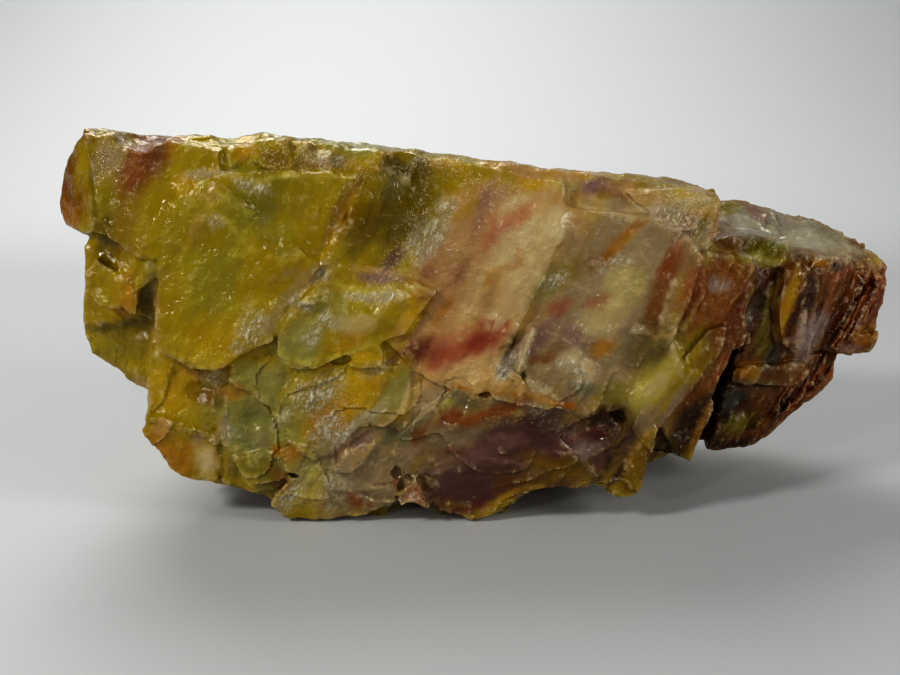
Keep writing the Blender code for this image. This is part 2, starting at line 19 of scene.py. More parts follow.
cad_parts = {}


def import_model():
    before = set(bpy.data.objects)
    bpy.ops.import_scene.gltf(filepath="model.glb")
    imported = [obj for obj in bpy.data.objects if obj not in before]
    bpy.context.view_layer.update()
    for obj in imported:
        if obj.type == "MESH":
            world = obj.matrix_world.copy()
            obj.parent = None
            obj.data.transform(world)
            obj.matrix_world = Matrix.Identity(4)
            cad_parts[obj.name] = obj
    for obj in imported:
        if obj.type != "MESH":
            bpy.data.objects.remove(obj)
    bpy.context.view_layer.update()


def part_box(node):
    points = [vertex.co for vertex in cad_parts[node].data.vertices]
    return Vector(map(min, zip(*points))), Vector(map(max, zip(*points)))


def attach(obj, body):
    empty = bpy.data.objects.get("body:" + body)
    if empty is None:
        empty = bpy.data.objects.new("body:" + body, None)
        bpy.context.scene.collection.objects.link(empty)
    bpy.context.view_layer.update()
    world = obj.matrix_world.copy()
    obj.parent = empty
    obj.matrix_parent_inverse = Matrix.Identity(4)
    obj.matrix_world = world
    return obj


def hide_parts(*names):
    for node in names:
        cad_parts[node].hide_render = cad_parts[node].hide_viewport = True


NODE = "petrified_wood"
PIECE = "silicified_log"
MM = 0.001

# The grain of the log climbs to the right, and leans a little away from the viewer.
GRAIN = Vector((0.46, 0.10, 0.88)).normalized()

# How fine the skin is drawn, the triangles that are kept of it, the angle in degrees from which an
# edge of it is sharp, and how many times a worn arris is averaged with its surroundings.
SKIN_VOXEL = 0.48
MOST_TRIANGLES = 196000
SHARP_ANGLE = 32
WEAR_ROUNDS = 40

# The relief of the skin in millimetres, each as its size along the skin and its height: the sway of
# the whole, lumps, low steps (with how much higher they are low on the front), wood fibres, the grit
# of the crest, the facets of the break, and the bites out of its edges.
WIDE_SWAY, FINE_SWAY = (7, 0.35), (2.6, 0.12)
WIDE_LUMPS, FINE_LUMPS = (11, 0.45), (4, 0.18)
WIDE_STEPS, FINE_STEPS = (19, 0.15, 0.35), (12, 0.10, 0.15)
WIDE_FIBRES, FINE_FIBRES = (3.0, 0.75), (1.3, 0.5)
CREST_GRIT = (2.6, 0.35)
WIDE_FACETS, FINE_FACETS = (7.5, 1.0), (3.2, 0.35)
BITES = (2.4, 0.6)

# How far an arris stands out of the skin around it where it starts to be bitten or pale, and where it
# is so in full, in millimetres. The pale arrises are partly chipped stone and partly a painted highlight
# where a thin edge catches the light.
BITTEN_ARRIS = (0.14, 0.40)
PALE_AND_LIT_ARRIS = (0.07, 0.24)

# On the clean smooth breaks the relief is lower by this share.
CALM_SHARE = 0.75

# Where the front begins and is whole, in millimetres toward the viewer from the middle of the stone,
# where its low part does, as heights with a minus sign, and where the crest does, as heights.
FRONT_EDGE = (4, 12)
LOW_FRONT = (-48, -30)
CREST_HEIGHT = (77, 81)

# Large odd numbers that scatter the place of a cell into a value that looks random, and the bits of it
# that are kept.
SCATTER = (374761393, 668265263, 1440662683, 1274126177, 1103515245)
SCATTER_BITS = 0xFFFFFFFF

# A flake reaches this far into the stone, and its root is this much wider than its face.
FLAKE_DEPTH = 9.0
FLAKE_FLARE = 1.10

# The material's patterns, in real millimetres: width of a colour streak and how much longer it is than
# wide, size of the clouds, specks, feathers of a bruise, grains (some painted pale as glints) and
# ripples, and the heights.
# The grains and ripples of such stone are finer, and are drawn as coarse as it takes to show them.
STREAK_WIDTH = 1.5
STREAK_STRETCH = 7.0
CLOUD_SIZE = 7.0
SPECK_SIZE = 0.9
FEATHER_SIZE = 0.7
FEATHER_STRETCH = 2.2
GRAIN_SIZE = 0.38
RIPPLE_SIZE = 2.4
RIPPLE_HEIGHT = 1.0
CALM_RIPPLES = 0.35
GRAIN_HEIGHT = 0.25
FIBRE_HEIGHT = 0.35
FEATHER_HEIGHT = 0.15

# Shares from 0 to 1: how pale the edges are (chipped stone and a painted highlight), how pale the haze
# of a bruise is, how much a grain is painted pale as a painted glint, the roughness of the glossiest and
# of the dullest clean break, what fibres add to it, the strength of the mirror-like part, and the glow
# inside. The glow reaches GLOW_DEPTH millimetres, red light furthest.
EDGE_CHIPS_AND_HIGHLIGHT = 0.70
HAZE = 0.30
PAINTED_GLINT = 0.70
GLOSS = (0.09, 0.24)
FIBRE_DULLNESS = 0.22
SHEEN = 0.45
GLOW = 0.10
GLOW_DEPTH = 1.2
GLOW_REACH = (1.0, 0.7, 0.35)
CHALCEDONY_IOR = 1.54

# A noise pattern runs over about this range of values, which is spread out to its darkest and lightest.
NOISE_RANGE = (0.3, 0.7)

# The sweep of paper, in metres, then its colour, its roughness and how strongly it reflects.
SWEEP_WIDTH = 4.0
SWEEP_FRONT = 1.2
SWEEP_BACK = 0.35
SWEEP_RADIUS = 0.5
SWEEP_HEIGHT = 2.0
SWEEP_STEPS = 24
PAPER = "#bdbebd"
PAPER_ROUGHNESS = 0.6
PAPER_SHEEN = 0.25

# Each lamp: its place and what it is aimed at, in metres, its size in metres and its power in watts.
STONE_MIDDLE = (0.0, 0.0, 0.04)
LAMPS = {
    "window_left": ((-0.50, -0.32, 0.48), STONE_MIDDLE, 0.12, 1.70),
    "front_right": ((0.62, -0.26, 0.34), STONE_MIDDLE, 0.25, 1.25),
    "back": ((-0.20, 0.45, 0.60), STONE_MIDDLE, 0.45, 2.5),
    "wall_wash": ((0.0, 0.30, 0.45), (0.0, 1.20, 0.25), 0.60, 1.0),
    "spark_left": ((-0.42, -0.52, 0.26), STONE_MIDDLE, 0.04, 0.42),
    "spark_middle": ((0.02, -0.62, 0.30), STONE_MIDDLE, 0.03, 0.20),
    "spark_right": ((0.42, -0.45, 0.22), STONE_MIDDLE, 0.03, 0.20),
}

# The even light of the room, the width of the camera's sensor in millimetres, and the contrast and
# exposure of the picture.
ROOM_LIGHT = 0.09
ROOM_TINT = "#f4f7ff"
SENSOR = 36.0
LOOK = "Very High Contrast"
EXPOSURE = 0.0

# The large masses of the stone, each by the corners of a convex block (x, y, z).
MASSES = {
    "head": [
        (-82.5, -19, 87.6), (-84.8, -17, 88), (-91, -11, 79), (-93.5, -10, 71),
        (-92, -12, 65.5), (-87, -16, 64.5), (-83, -23, 66), (-82.5, -21, 80),
        (-67, -19, 86.6), (-62, -25, 64), (-86, 8, 80), (-88, 12, 68), (-62, 20, 80), (-62, 26, 60),
    ],
    "left_flank": [
        (-86.5, -17, 62), (-87, -18, 56), (-86, -18, 45), (-88, -17, 41.5), (-87, -17, 36.5),
        (-81, -17, 33.5), (-75, -17, 28), (-68, -23, 64), (-66, -23, 40), (-68, -21, 30),
        (-85.4, -14, 66), (-80, -19, 68), (-70, -22, 70), (-80, 14, 70),
        (-82, 16, 60), (-80, 20, 42), (-60, 26, 62), (-60, 28, 34),
    ],
    "belly": [
        (-58, -23.6, 79), (-42, -23.2, 79.5), (-26, -23, 78), (-66, -17, 86), (-50, -18, 86.6),
        (-44.6, -18, 86.2), (-20, -20, 82.2), (-9.6, -20, 81.5),
        (2, -20, 78.4), (14, -19, 76.8), (30, -19, 77), (44, -18, 76), (52, -15, 73),
        (-68, -22.5, 60), (-57, -26, 57), (-40, -24.5, 70), (-15, -25, 68), (-20, -29, 50),
        (2, -28.5, 53), (28, -26, 54), (46, -21, 58),
        (-70, -23, 41), (-50, -28, 40), (-40, -29, 32), (-10, -31, 32), (22, -30, 28), (38, -25, 30),
        (54, -18, 45), (52, -16, 30),
        (-75, -18, 24), (-72, -19, 12), (-60, -23, 8), (-42, -26, 3), (-15, -28, 5), (0, -27, 2),
        (22, -26, 9), (34, -24, 10), (46, -16, 16), (42, -10, 11), (48, -10, 14),
        (-34, -23, -1), (4, -23, -1), (8, 20, -1), (-36, 20, -1),
        (-66, 0, 82), (-50, 12, 81.5), (-30, 14, 80.5), (-20, 9, 79), (-4, 2, 75), (26, -6, 73),
        (-76, 16, 68), (-73, 22, 42), (-60, 27, 22), (-30, 29, 8), (20, 28, 9), (46, 27, 24),
        (54, 24, 52), (30, 28, 62), (-10, 30, 66), (-44, 28, 72), (-62, 25, 71),
    ],
    "tail_top": [
        (50, -6, 61), (56, -9, 59.5), (65, -9, 57), (74, -7, 56), (82, -3, 56.5), (90, 0, 54),
        (96, 2, 51), (30, 8, 64), (34, 27, 63), (60, 19, 65), (68, 20, 64.8), (75, 22, 61.5),
        (83, 22, 60), (87, 21, 59.6), (91, 18, 58), (95.5, 12, 55.5), (99.2, 4, 53),
        (99.8, 4, 48.7), (98, 5, 46), (96, 6, 38),
        (90, 6, 34), (84, 0, 35), (48, 0, 30), (46, 28, 30), (80, 25, 38), (92, 16, 38),
    ],
    "tail_low": [
        (50, -6, 36), (60, -5, 36), (76, -3, 34), (84, 0, 32), (86, 3, 25), (80, 4, 18.5),
        (72, 2, 13.5), (62, 0, 10.5), (54, -4, 10), (44, 0, 12), (44, 26, 16), (64, 27, 22),
        (82, 20, 29), (84, 12, 33),
    ],
    "upper_book": [
        (62, -12, 56.5), (68.6, -11.5, 57), (74.4, -11, 55.6), (79, -9.5, 53.5), (79, -9.5, 37.5),
        (78.2, -9.5, 32.5), (76.6, -9.5, 28.7), (74.3, -10, 27.7), (68.5, -11.5, 27.9),
        (60, -12.5, 28.7), (61.5, -13, 33), (62.5, -13.5, 44),
        (60, 8, 58), (78, 8, 56), (76, 8, 30), (58, 8, 30),
    ],
    "end_book": [
        (78, -8, 54.5), (81, -6.5, 56.3), (85.6, -5, 56.8), (90.5, -3.5, 54.1), (93.1, -3, 51.7),
        (97.1, -1, 49.8), (97.9, -0.5, 46.8), (97.3, -0.5, 43.1), (95.5, -1, 38), (96.1, -1, 35.7),
        (94.9, -1.5, 33.2), (90.8, -3, 31.4), (87.1, -4, 32.4), (85.2, -5, 34.4), (78.5, -8.6, 34.5),
        (78.5, -8.8, 43), (80, 12, 54), (96, 10, 50), (94, 10, 38), (84, 10, 36),
    ],
    "lower_book": [
        (60.5, -9, 27.5), (66, -9, 28), (75.5, -8, 28), (80.3, -6.5, 31), (81, -5, 34.8),
        (85, -4, 34.3), (86.6, -3, 29.3), (86.7, -3, 26), (81.7, -4, 23.5), (77.3, -5, 18.4),
        (72.8, -6, 14.6), (67.1, -7, 10.2), (63.5, -8, 9.4), (58, -9, 8.8), (56.3, -9, 9.4),
        (57.7, -10, 14.1), (59.3, -10, 19.7),
        (60, 10, 28), (84, 8, 30), (76, 8, 18), (58, 8, 13),
    ],
}

# Each flake: its outline as seen from the front (x, z), where its face stands (y at the middle of
# the outline), and how the face leans back with height and turns back to the right, in mm per mm.
FLAKES = {
    "head_front": ([(-82.5, 87.4), (-76, 87), (-66, 86.8), (-60, 85.5), (-54, 84), (-54, 78), (-58, 70),
                    (-63, 62), (-69, 61), (-74, 62), (-79, 66), (-81.5, 75)], -25.0, 0.13, 0.0),
    "yellow_plate": ([(-62, 77), (-58, 78.5), (-54, 78), (-45, 69), (-33, 60), (-39, 53), (-43, 50),
                      (-44, 43.5), (-50, 41.5), (-57, 36.5), (-62, 37.5), (-69.5, 41.5), (-69, 50),
                      (-68, 60), (-66, 70)], -28.3, 0.10, -0.07),
    "leaf": ([(-78, 57.5), (-76, 58.5), (-74, 55), (-73, 53), (-73.5, 48), (-75, 48.5), (-77, 51)],
             -27.5, 0.02, 0.05),
    "leaf_shoulder": ([(-77.5, 57), (-77, 62), (-75, 65), (-67.5, 63.5), (-67.5, 58), (-73, 54)],
                      -26.2, 0.10, 0.0),
    "flank_chip": ([(-85.5, 57), (-82.5, 60.5), (-79, 58), (-77, 54), (-77, 50), (-82, 49.5),
                    (-84.5, 52)], -24.0, 0.10, -0.12),
    "flank_wedge": ([(-73, 54.5), (-70.5, 61), (-68.5, 57), (-68.5, 53)], -25.6, 0.05, 0.0),
    "flank_recess": ([(-74.5, 46), (-74, 54), (-71, 56), (-68.5, 54), (-68, 45.5), (-71, 45)],
                     -25.2, 0.04, 0.06),
    "green_slab": ([(-60.5, 77), (-57, 79), (-53.5, 80), (-50, 78.6), (-45, 78.2), (-40.5, 79.8),
                    (-36, 78.8), (-30, 79.2), (-24, 78.6), (-30, 66), (-34, 59), (-46, 56), (-56, 66)],
                   -25.9, 0.10, 0.02),
    "crest_left": ([(-62, 80), (-59, 85.4), (-46, 86.2), (-40, 85.6), (-39, 80), (-48, 79)],
                   -21.8, 0.50, 0.0),
    "ridge_end": ([(-38, 57), (-34, 61.5), (-30, 63), (-28, 60), (-32, 56), (-36, 54)],
                  -28.2, 0.20, 0.0),
    "rose_sheet": ([(-26, 70), (-16, 70.5), (0, 70), (8, 70), (14, 71), (19, 71), (18, 66),
                    (14.5, 61.5), (11, 54), (9.5, 47), (6, 38), (3, 33), (-4, 32.5), (-13, 37),
                    (-17, 42), (-20, 50), (-33, 60), (-30, 67)], -29.3, 0.13, -0.01),
    "rose_top": ([(-27, 69), (-24.5, 79), (-20, 82.4), (-9.6, 81.7), (2, 78.7), (14, 77), (19.5, 77),
                  (19, 71), (10, 69.5), (-10, 69)], -23.8, 0.60, -0.01),
    "arrowhead": ([(-38, 52.5), (-31, 56.5), (-10, 54.8), (-8, 55), (-10, 53), (-15, 45.5), (-20, 44),
                   (-27, 41), (-33, 38.5), (-40, 37.5), (-43, 41), (-41, 48)], -31.6, 0.03, -0.02),
    "arrowhead_top": ([(-38, 52.5), (-34, 56), (-29, 60.5), (-18, 58.3), (-8, 55.5), (-10, 54.5)],
                      -31.2, 0.42, 0.0),
    "pale_shell": ([(14.5, 66), (16, 71), (18, 71.8), (19.5, 70), (18.5, 65), (15, 62)],
                   -28.0, 0.17, 0.02),
    "right_plate": ([(12, 71), (19, 72.6), (28, 71.4), (33, 70.4), (40, 69), (46, 66), (49, 61),
                     (43, 55), (41, 48), (43, 43), (38, 35), (34, 28), (20, 27), (2, 36), (3, 57)],
                    -27.8, 0.13, 0.04),
    "top_strip": ([(14, 70), (17, 77), (30, 77.2), (44, 76.2), (52, 73.2), (47, 67),
                   (40, 68), (28, 70.4)], -22.2, 0.80, 0.04),
    "top_right": ([(33, 75), (44, 76), (52.5, 73.5), (52.5, 66), (50, 62), (46, 66), (38, 70)],
                  -23.3, 0.18, 0.14),
    "orange_flank": ([(50, 62), (51.5, 60), (59, 58), (62, 56.8), (60.5, 52.3), (61, 43.5), (60, 40),
                      (57, 34), (53.8, 26.2), (51, 21), (49.5, 14), (46, 15), (42, 23), (45, 33),
                      (48, 40), (43, 45), (40.5, 49), (43, 57)], -21.6, 0.09, 0.30),
    "flank_scale": ([(44, 58), (50, 60), (50, 52), (46, 44.5), (42, 46), (40.5, 50), (41.5, 54)],
                    -25.0, 0.12, 0.14),
    "edge_strip": ([(47, 36), (52, 44), (56, 45), (54, 38), (46, 27), (40, 20), (36.5, 21), (38, 27)],
                   -25.0, 0.06, 0.18),
    "glow_slope": ([(33, 30), (38, 36), (44, 42), (47, 36), (42, 28), (38, 20), (36, 22), (33, 26)],
                   -28.3, -0.05, 0.40),
    "under_streak": ([(41, 23), (49, 28), (49.5, 22), (48, 16), (46, 14), (39, 11.5), (37.5, 13)],
                     -21.0, 0.02, 0.22),
    "lower_yellow": ([(-72, 41), (-66, 40), (-60, 37), (-54, 35), (-54, 30), (-57, 22), (-63, 20),
                      (-69, 22), (-73.5, 24), (-73, 31)], -25.4, 0.02, -0.05),
    "foot_lobe": ([(-73.5, 25), (-70, 25.5), (-65.5, 22), (-62, 21), (-58, 20.5), (-57.3, 14),
                   (-58.5, 9.5), (-64, 9.5), (-69, 12), (-72.5, 17), (-75, 21.5)], -26.8, -0.10, -0.08),
    "olive_shard": ([(-53, 38), (-50, 39), (-45, 39), (-38, 37), (-36, 33), (-44, 27), (-46, 29.5),
                     (-52, 33.5), (-54, 34)], -28.6, 0.05, -0.05),
    "grey_block": ([(-54, 33.5), (-50, 32.5), (-45, 28), (-41, 24), (-37, 18), (-36, 15), (-40, 11),
                    (-43, 8), (-50, 6), (-57, 8.5), (-57, 14), (-58, 19), (-57, 24)],
                   -27.2, -0.04, -0.09),
    "grey_chip": ([(-53.5, 15.5), (-46, 17.5), (-43, 17), (-42, 14), (-41, 11), (-46, 10), (-51, 9)],
                  -28.9, 0.10, -0.05),
    "amber_chip": ([(-44, 16.5), (-40, 18.5), (-37, 17), (-35.5, 15), (-39, 12), (-42, 13.5)],
                   -30.0, 0.20, 0.0),
    "rough_yellow": ([(-38, 37), (-33, 38.5), (-25, 37.5), (-18, 38), (-13, 38), (-14, 32), (-20, 25),
                      (-31, 18), (-36, 16), (-41, 20), (-44, 27), (-42, 31)], -30.8, 0.03, -0.01),
    "yellow_tags": ([(-28, 38.5), (-26, 41), (-23, 42.5), (-20, 42.5), (-20, 38), (-25, 37.5)],
                    -32.0, 0.05, 0.0),
    "pale_blade": ([(-20, 38), (-14, 39), (-13.5, 33), (-15, 28), (-20, 24), (-24, 26)],
                   -31.6, 0.03, 0.0),
    "cream_lobe": ([(-31, 14), (-29, 18), (-24, 20.5), (-21.5, 20), (-24.5, 16), (-27.5, 13.5)],
                   -31.6, 0.05, 0.0),
    "pale_band": ([(-36, 15), (-31, 19), (-20, 29), (-14, 34), (-5, 33), (-9, 28), (-12, 26), (-17, 20),
                   (-19, 12), (-24, 8), (-32, 9)], -30.4, -0.02, 0.0),
    "bottom_cream": ([(-46, 4.5), (-42, 10), (-36, 14), (-30, 14), (-22, 15), (-17, 11), (-18, 6),
                      (-24, 1.8), (-32, 0.5), (-42, 1.4)], -29.6, -0.14, -0.02),
    "pink_crystal": ([(-17, 8), (-13, 12), (-11.5, 10), (-9.5, 4.5), (-16.5, 5)], -31.0, 0.0, 0.1),
    "purple_lobe": ([(-10.5, 11.5), (-4, 15), (5, 15.5), (12, 13.5), (17, 10.5), (10, 8), (6, 3),
                     (0, 0.6), (-5, 1.5), (-9, 4.5)], -29.0, -0.16, 0.02),
    "brown_face": ([(-17, 22), (-9, 28), (-5, 32.5), (3, 31), (12, 30), (22, 28), (27, 28.5), (33, 24),
                    (31, 19), (26, 16), (12, 15), (4, 16), (-4, 15), (-16, 12), (-18, 18)],
                   -31.0, -0.11, 0.03),
    "yellow_low": ([(6, 15.5), (15, 18.5), (24, 18), (28, 12), (26, 9), (15, 8.5), (10, 9)],
                   -29.8, -0.16, 0.03),
    "tan_wedge": ([(3, 33), (5, 37), (7.5, 38), (12, 34), (22, 28), (14, 29.5), (5, 31)],
                  -33.4, 0.10, 0.04),
    "purple_ledge": ([(9.5, 38), (12, 47), (16, 46.5), (22, 42), (28, 36), (22, 29), (14, 34)],
                     -31.0, 0.12, 0.08),
    "bright_rib": ([(12, 47.5), (13.8, 47), (11, 38), (9.3, 37.5)], -32.2, 0.10, 0.0),
    "foot_ridge": ([(39, 25), (41, 23), (39.8, 17), (38.2, 10), (36.5, 6.5), (34.5, 5.8), (31, 6.8),
                    (31.5, 10), (35, 17)], -28.6, 0.0, 0.14),
    "right_low": ([(30, 22), (36, 26), (37, 22), (32.5, 11), (31, 7.5), (28, 9), (24, 12), (24, 18)],
                  -28.6, -0.03, 0.08),
    "book_rib": ([(71, 56), (75, 55), (76, 45), (74.5, 36), (71, 38), (70, 43), (70, 50)],
                 -14.2, 0.02, 0.12),
    "book_lip": ([(58, 29), (61, 33), (70, 33), (77, 33), (77.5, 29.5), (74.3, 27.7), (68, 27.6)],
                 -13.8, 0.06, 0.14),
    "plateau_chunk": ([(53.9, 60.8), (57, 61.9), (64.6, 62.9), (69.3, 61.2), (72.3, 60.1), (74.3, 56),
                       (68.5, 56.1), (58, 58.9)], -10.5, 0.60, 0.05),
    "chip_under_end": ([(83, 36.5), (90, 37.5), (96, 37.5), (96.1, 35.7), (94.9, 33.4), (90.8, 31.6),
                        (87, 32.6)], -4.6, 0.05, 0.22),
}

# The same for the back of the stone, whose faces look the other way.
BACK_FLAKES = {
    "back_left": ([(-77, 64), (-70, 71), (-56, 73), (-36, 71), (-30, 52), (-37, 32), (-56, 24),
                   (-70, 36)], 31.0, -0.13, 0.12),
    "back_middle": ([(-40, 72), (-22, 69), (2, 64), (10, 58), (13, 38), (2, 14), (-26, 12), (-36, 30)],
                    35.5, -0.08, 0.02),
    "back_right": ([(4, 64), (34, 62), (53, 54), (54, 36), (44, 18), (16, 12), (8, 36)],
                   32.5, -0.10, -0.10),
    "back_low": ([(-58, 30), (-24, 31), (10, 32), (26, 20), (8, 3), (-36, 3), (-52, 12)],
                 30.0, 0.34, 0.0),
    "back_shell": ([(-17, 58), (-4, 62), (9, 55), (6, 44), (-6, 39), (-16, 46)], 38.4, -0.05, -0.05),
    "back_chip": ([(-66, 58), (-54, 62), (-47, 54), (-52, 44), (-64, 46)], 33.8, -0.10, 0.10),
    "back_tail": ([(52, 62), (72, 62), (84, 58), (88, 46), (78, 32), (56, 30)], 25.0, -0.02, -0.12),
}

# Rows of splinters on the fibrous faces at the right end: where the row of feet starts and ends,
# how many there are, and the length, width and height of one.
SPLINTER_ROWS = {
    "end_book": ((82.5, -8.4, 37.0), (90.5, -4.6, 36.5), 5, 15.0, 2.2, 1.2),
    "lower_book": ((66.5, -9.8, 14.5), (85.5, -4.6, 27.5), 8, 10.5, 2.4, 1.2),
    "flank_edge": ((53.5, -21.0, 33.0), (58.0, -17.5, 31.5), 3, 16.0, 1.8, 1.2),
    "flank_foot": ((46.0, -19.0, 16.0), (50.5, -16.0, 17.5), 3, 12.0, 1.8, 1.1),
}

# Each scoop is an ellipsoid: its middle, its half axes and a turn about Y in degrees.
SCOOPS = {
    "green_scar": ((-40.5, -35.5, 72), (15.5, 9.8, 11.5), -8),
    "head_hollow": ((-74.5, -38.5, 76), (9, 14, 12), 10),
    "valley": ((-66.5, -37, 72), (4.5, 11.5, 13), -22),
    "crest_notch_left": ((-71, -20, 91.5), (7.5, 30, 7.4), 0),
    "crest_notch_mid": ((-52, -24, 91), (9, 30, 6.6), 0),
    "olive_trough": ((-20, -56.4, 69), (26, 30, 36), 28),
    "rose_bowl": ((4, -60, 50), (14, 29.5, 19), 30),
    "right_bowl": ((30, -58, 55), (17, 31, 19), 20),
    "glow_bowl": ((40, -43.6, 37), (9, 16.5, 14), 30),
    "gloss_notch": ((7, -36, 41), (3.4, 6, 5), 18),
    "eye_hollow": ((22.5, -37, 37), (6.5, 6.5, 3.6), -38),
    "left_under": ((-14, -28, -3.5), (7, 10, 9.5), 0),
    "right_under": ((20, -22, -3.5), (13, 18, 11.5), 0),
    "book_hollow": ((64.5, -19, 47.5), (4.2, 7.5, 8), 8),
    "flank_gloss": ((56.5, -26, 54), (4.5, 6.5, 4), 0),
    "grey_hollow": ((-50, -36, 24), (7.5, 9.4, 7), 30),
    "yellow_hollow": ((-61.5, -33, 30.5), (6, 9, 4.5), 0),
    "lower_book_hollow": ((64, -17, 20.5), (6.5, 9, 6), 30),
    "lower_book_step": ((64, -12, 8), (12, 5, 6.5), -8),
    "flank_floor": ((-77, -27.5, 43.5), (9, 8, 5.5), 0),
    "crest_dent_a": ((-15, -25, 83.5), (4.5, 8, 4.2), 0),
    "crest_dent_b": ((-33, -22, 85.5), (3.5, 6, 3.6), 0),
    "plateau_hollow": ((80, 6, 64), (11, 12, 7), 0),
    "back_scar_a": ((-43, 47, 59), (14, 17, 17), 30),
    "back_scar_b": ((30, 52, 43), (19, 22, 15), -25),
    "back_scar_c": ((-12, 48, 24), (20, 17, 11), 0),
    "back_scar_d": ((-70, 36, 30), (14, 15, 12), 0),
    "back_scar_e": ((66, 38, 44), (14, 17, 12), 20),
    "top_scar": ((14, 20, 90), (24, 17, 19), 0),
    "top_hollow": ((-60, 16, 94), (22, 24, 18), 0),
    "end_scar_low": ((-100, 7, 49), (17, 15, 13), 0),
    "end_scar_high": ((-104, 5, 77), (15, 14, 11), 0),
    "end_notch": ((95, 0, 28), (7, 14, 4.5), 20),
}

# The open split between the main mass and the books at the right end: a long thin wedge.
SPLIT = [
    (58.2, -22, 40), (60.8, -22, 41), (54, -22, 30.5), (57.2, -22, 30.5), (50.2, -22, 15.4),
    (53.6, -22, 14), (50.4, -12, 6), (55, -12, 6), (62, -3, 35), (60.6, -3, 34.5), (56, -3, 10),
    (54.6, -3, 10),
]

# Where the photograph was taken from, in the stone's own millimetres: the point looked at, how far
# off and how high the viewer stood, and the lens.
LOOKED_AT = (-5.3, 0.0, 35.4)
VIEW_DISTANCE = 302.0
VIEW_ELEVATION = 17.0
LENS = 50.0
# Places on the front are given on an upright sheet at this y, as the viewer sees the stone through it.
SHEET_Y = -28.0

# The minerals, as the colour of a clean break.
HUES = {
    "mustard": "#9a8403",
    "gold": "#b39106",
    "olive": "#7a7010",
    "dark olive": "#564706",
    "moss": "#7e7a24",
    "amber": "#a27208",
    "rust": "#8a4a0a",
    "russet": "#78480f",
    "maroon": "#6b2c1e",
    "brick": "#924022",
    "dark brown": "#3a2010",
    "brown": "#70491a",
    "purple": "#5f4038",
    "mauve": "#84655c",
    "lavender": "#958377",
    "rose": "#a3805a",
    "blush": "#ab6a4a",
    "cream": "#bfad84",
    "tan": "#b5945c",
    "taupe": "#958262",
    "lemon": "#b6a850",
    "sage": "#8d884c",
    "slate": "#6a684a",
    "teal": "#4c5747",
    "pale grey": "#aaa58e",
    "reflected blue grey": "#9ba29f",
    "white": "#e2dcc6",
    "old gold": "#7a5c04",
    "umber": "#3a1e05",
    "black": "#1c120a",
}

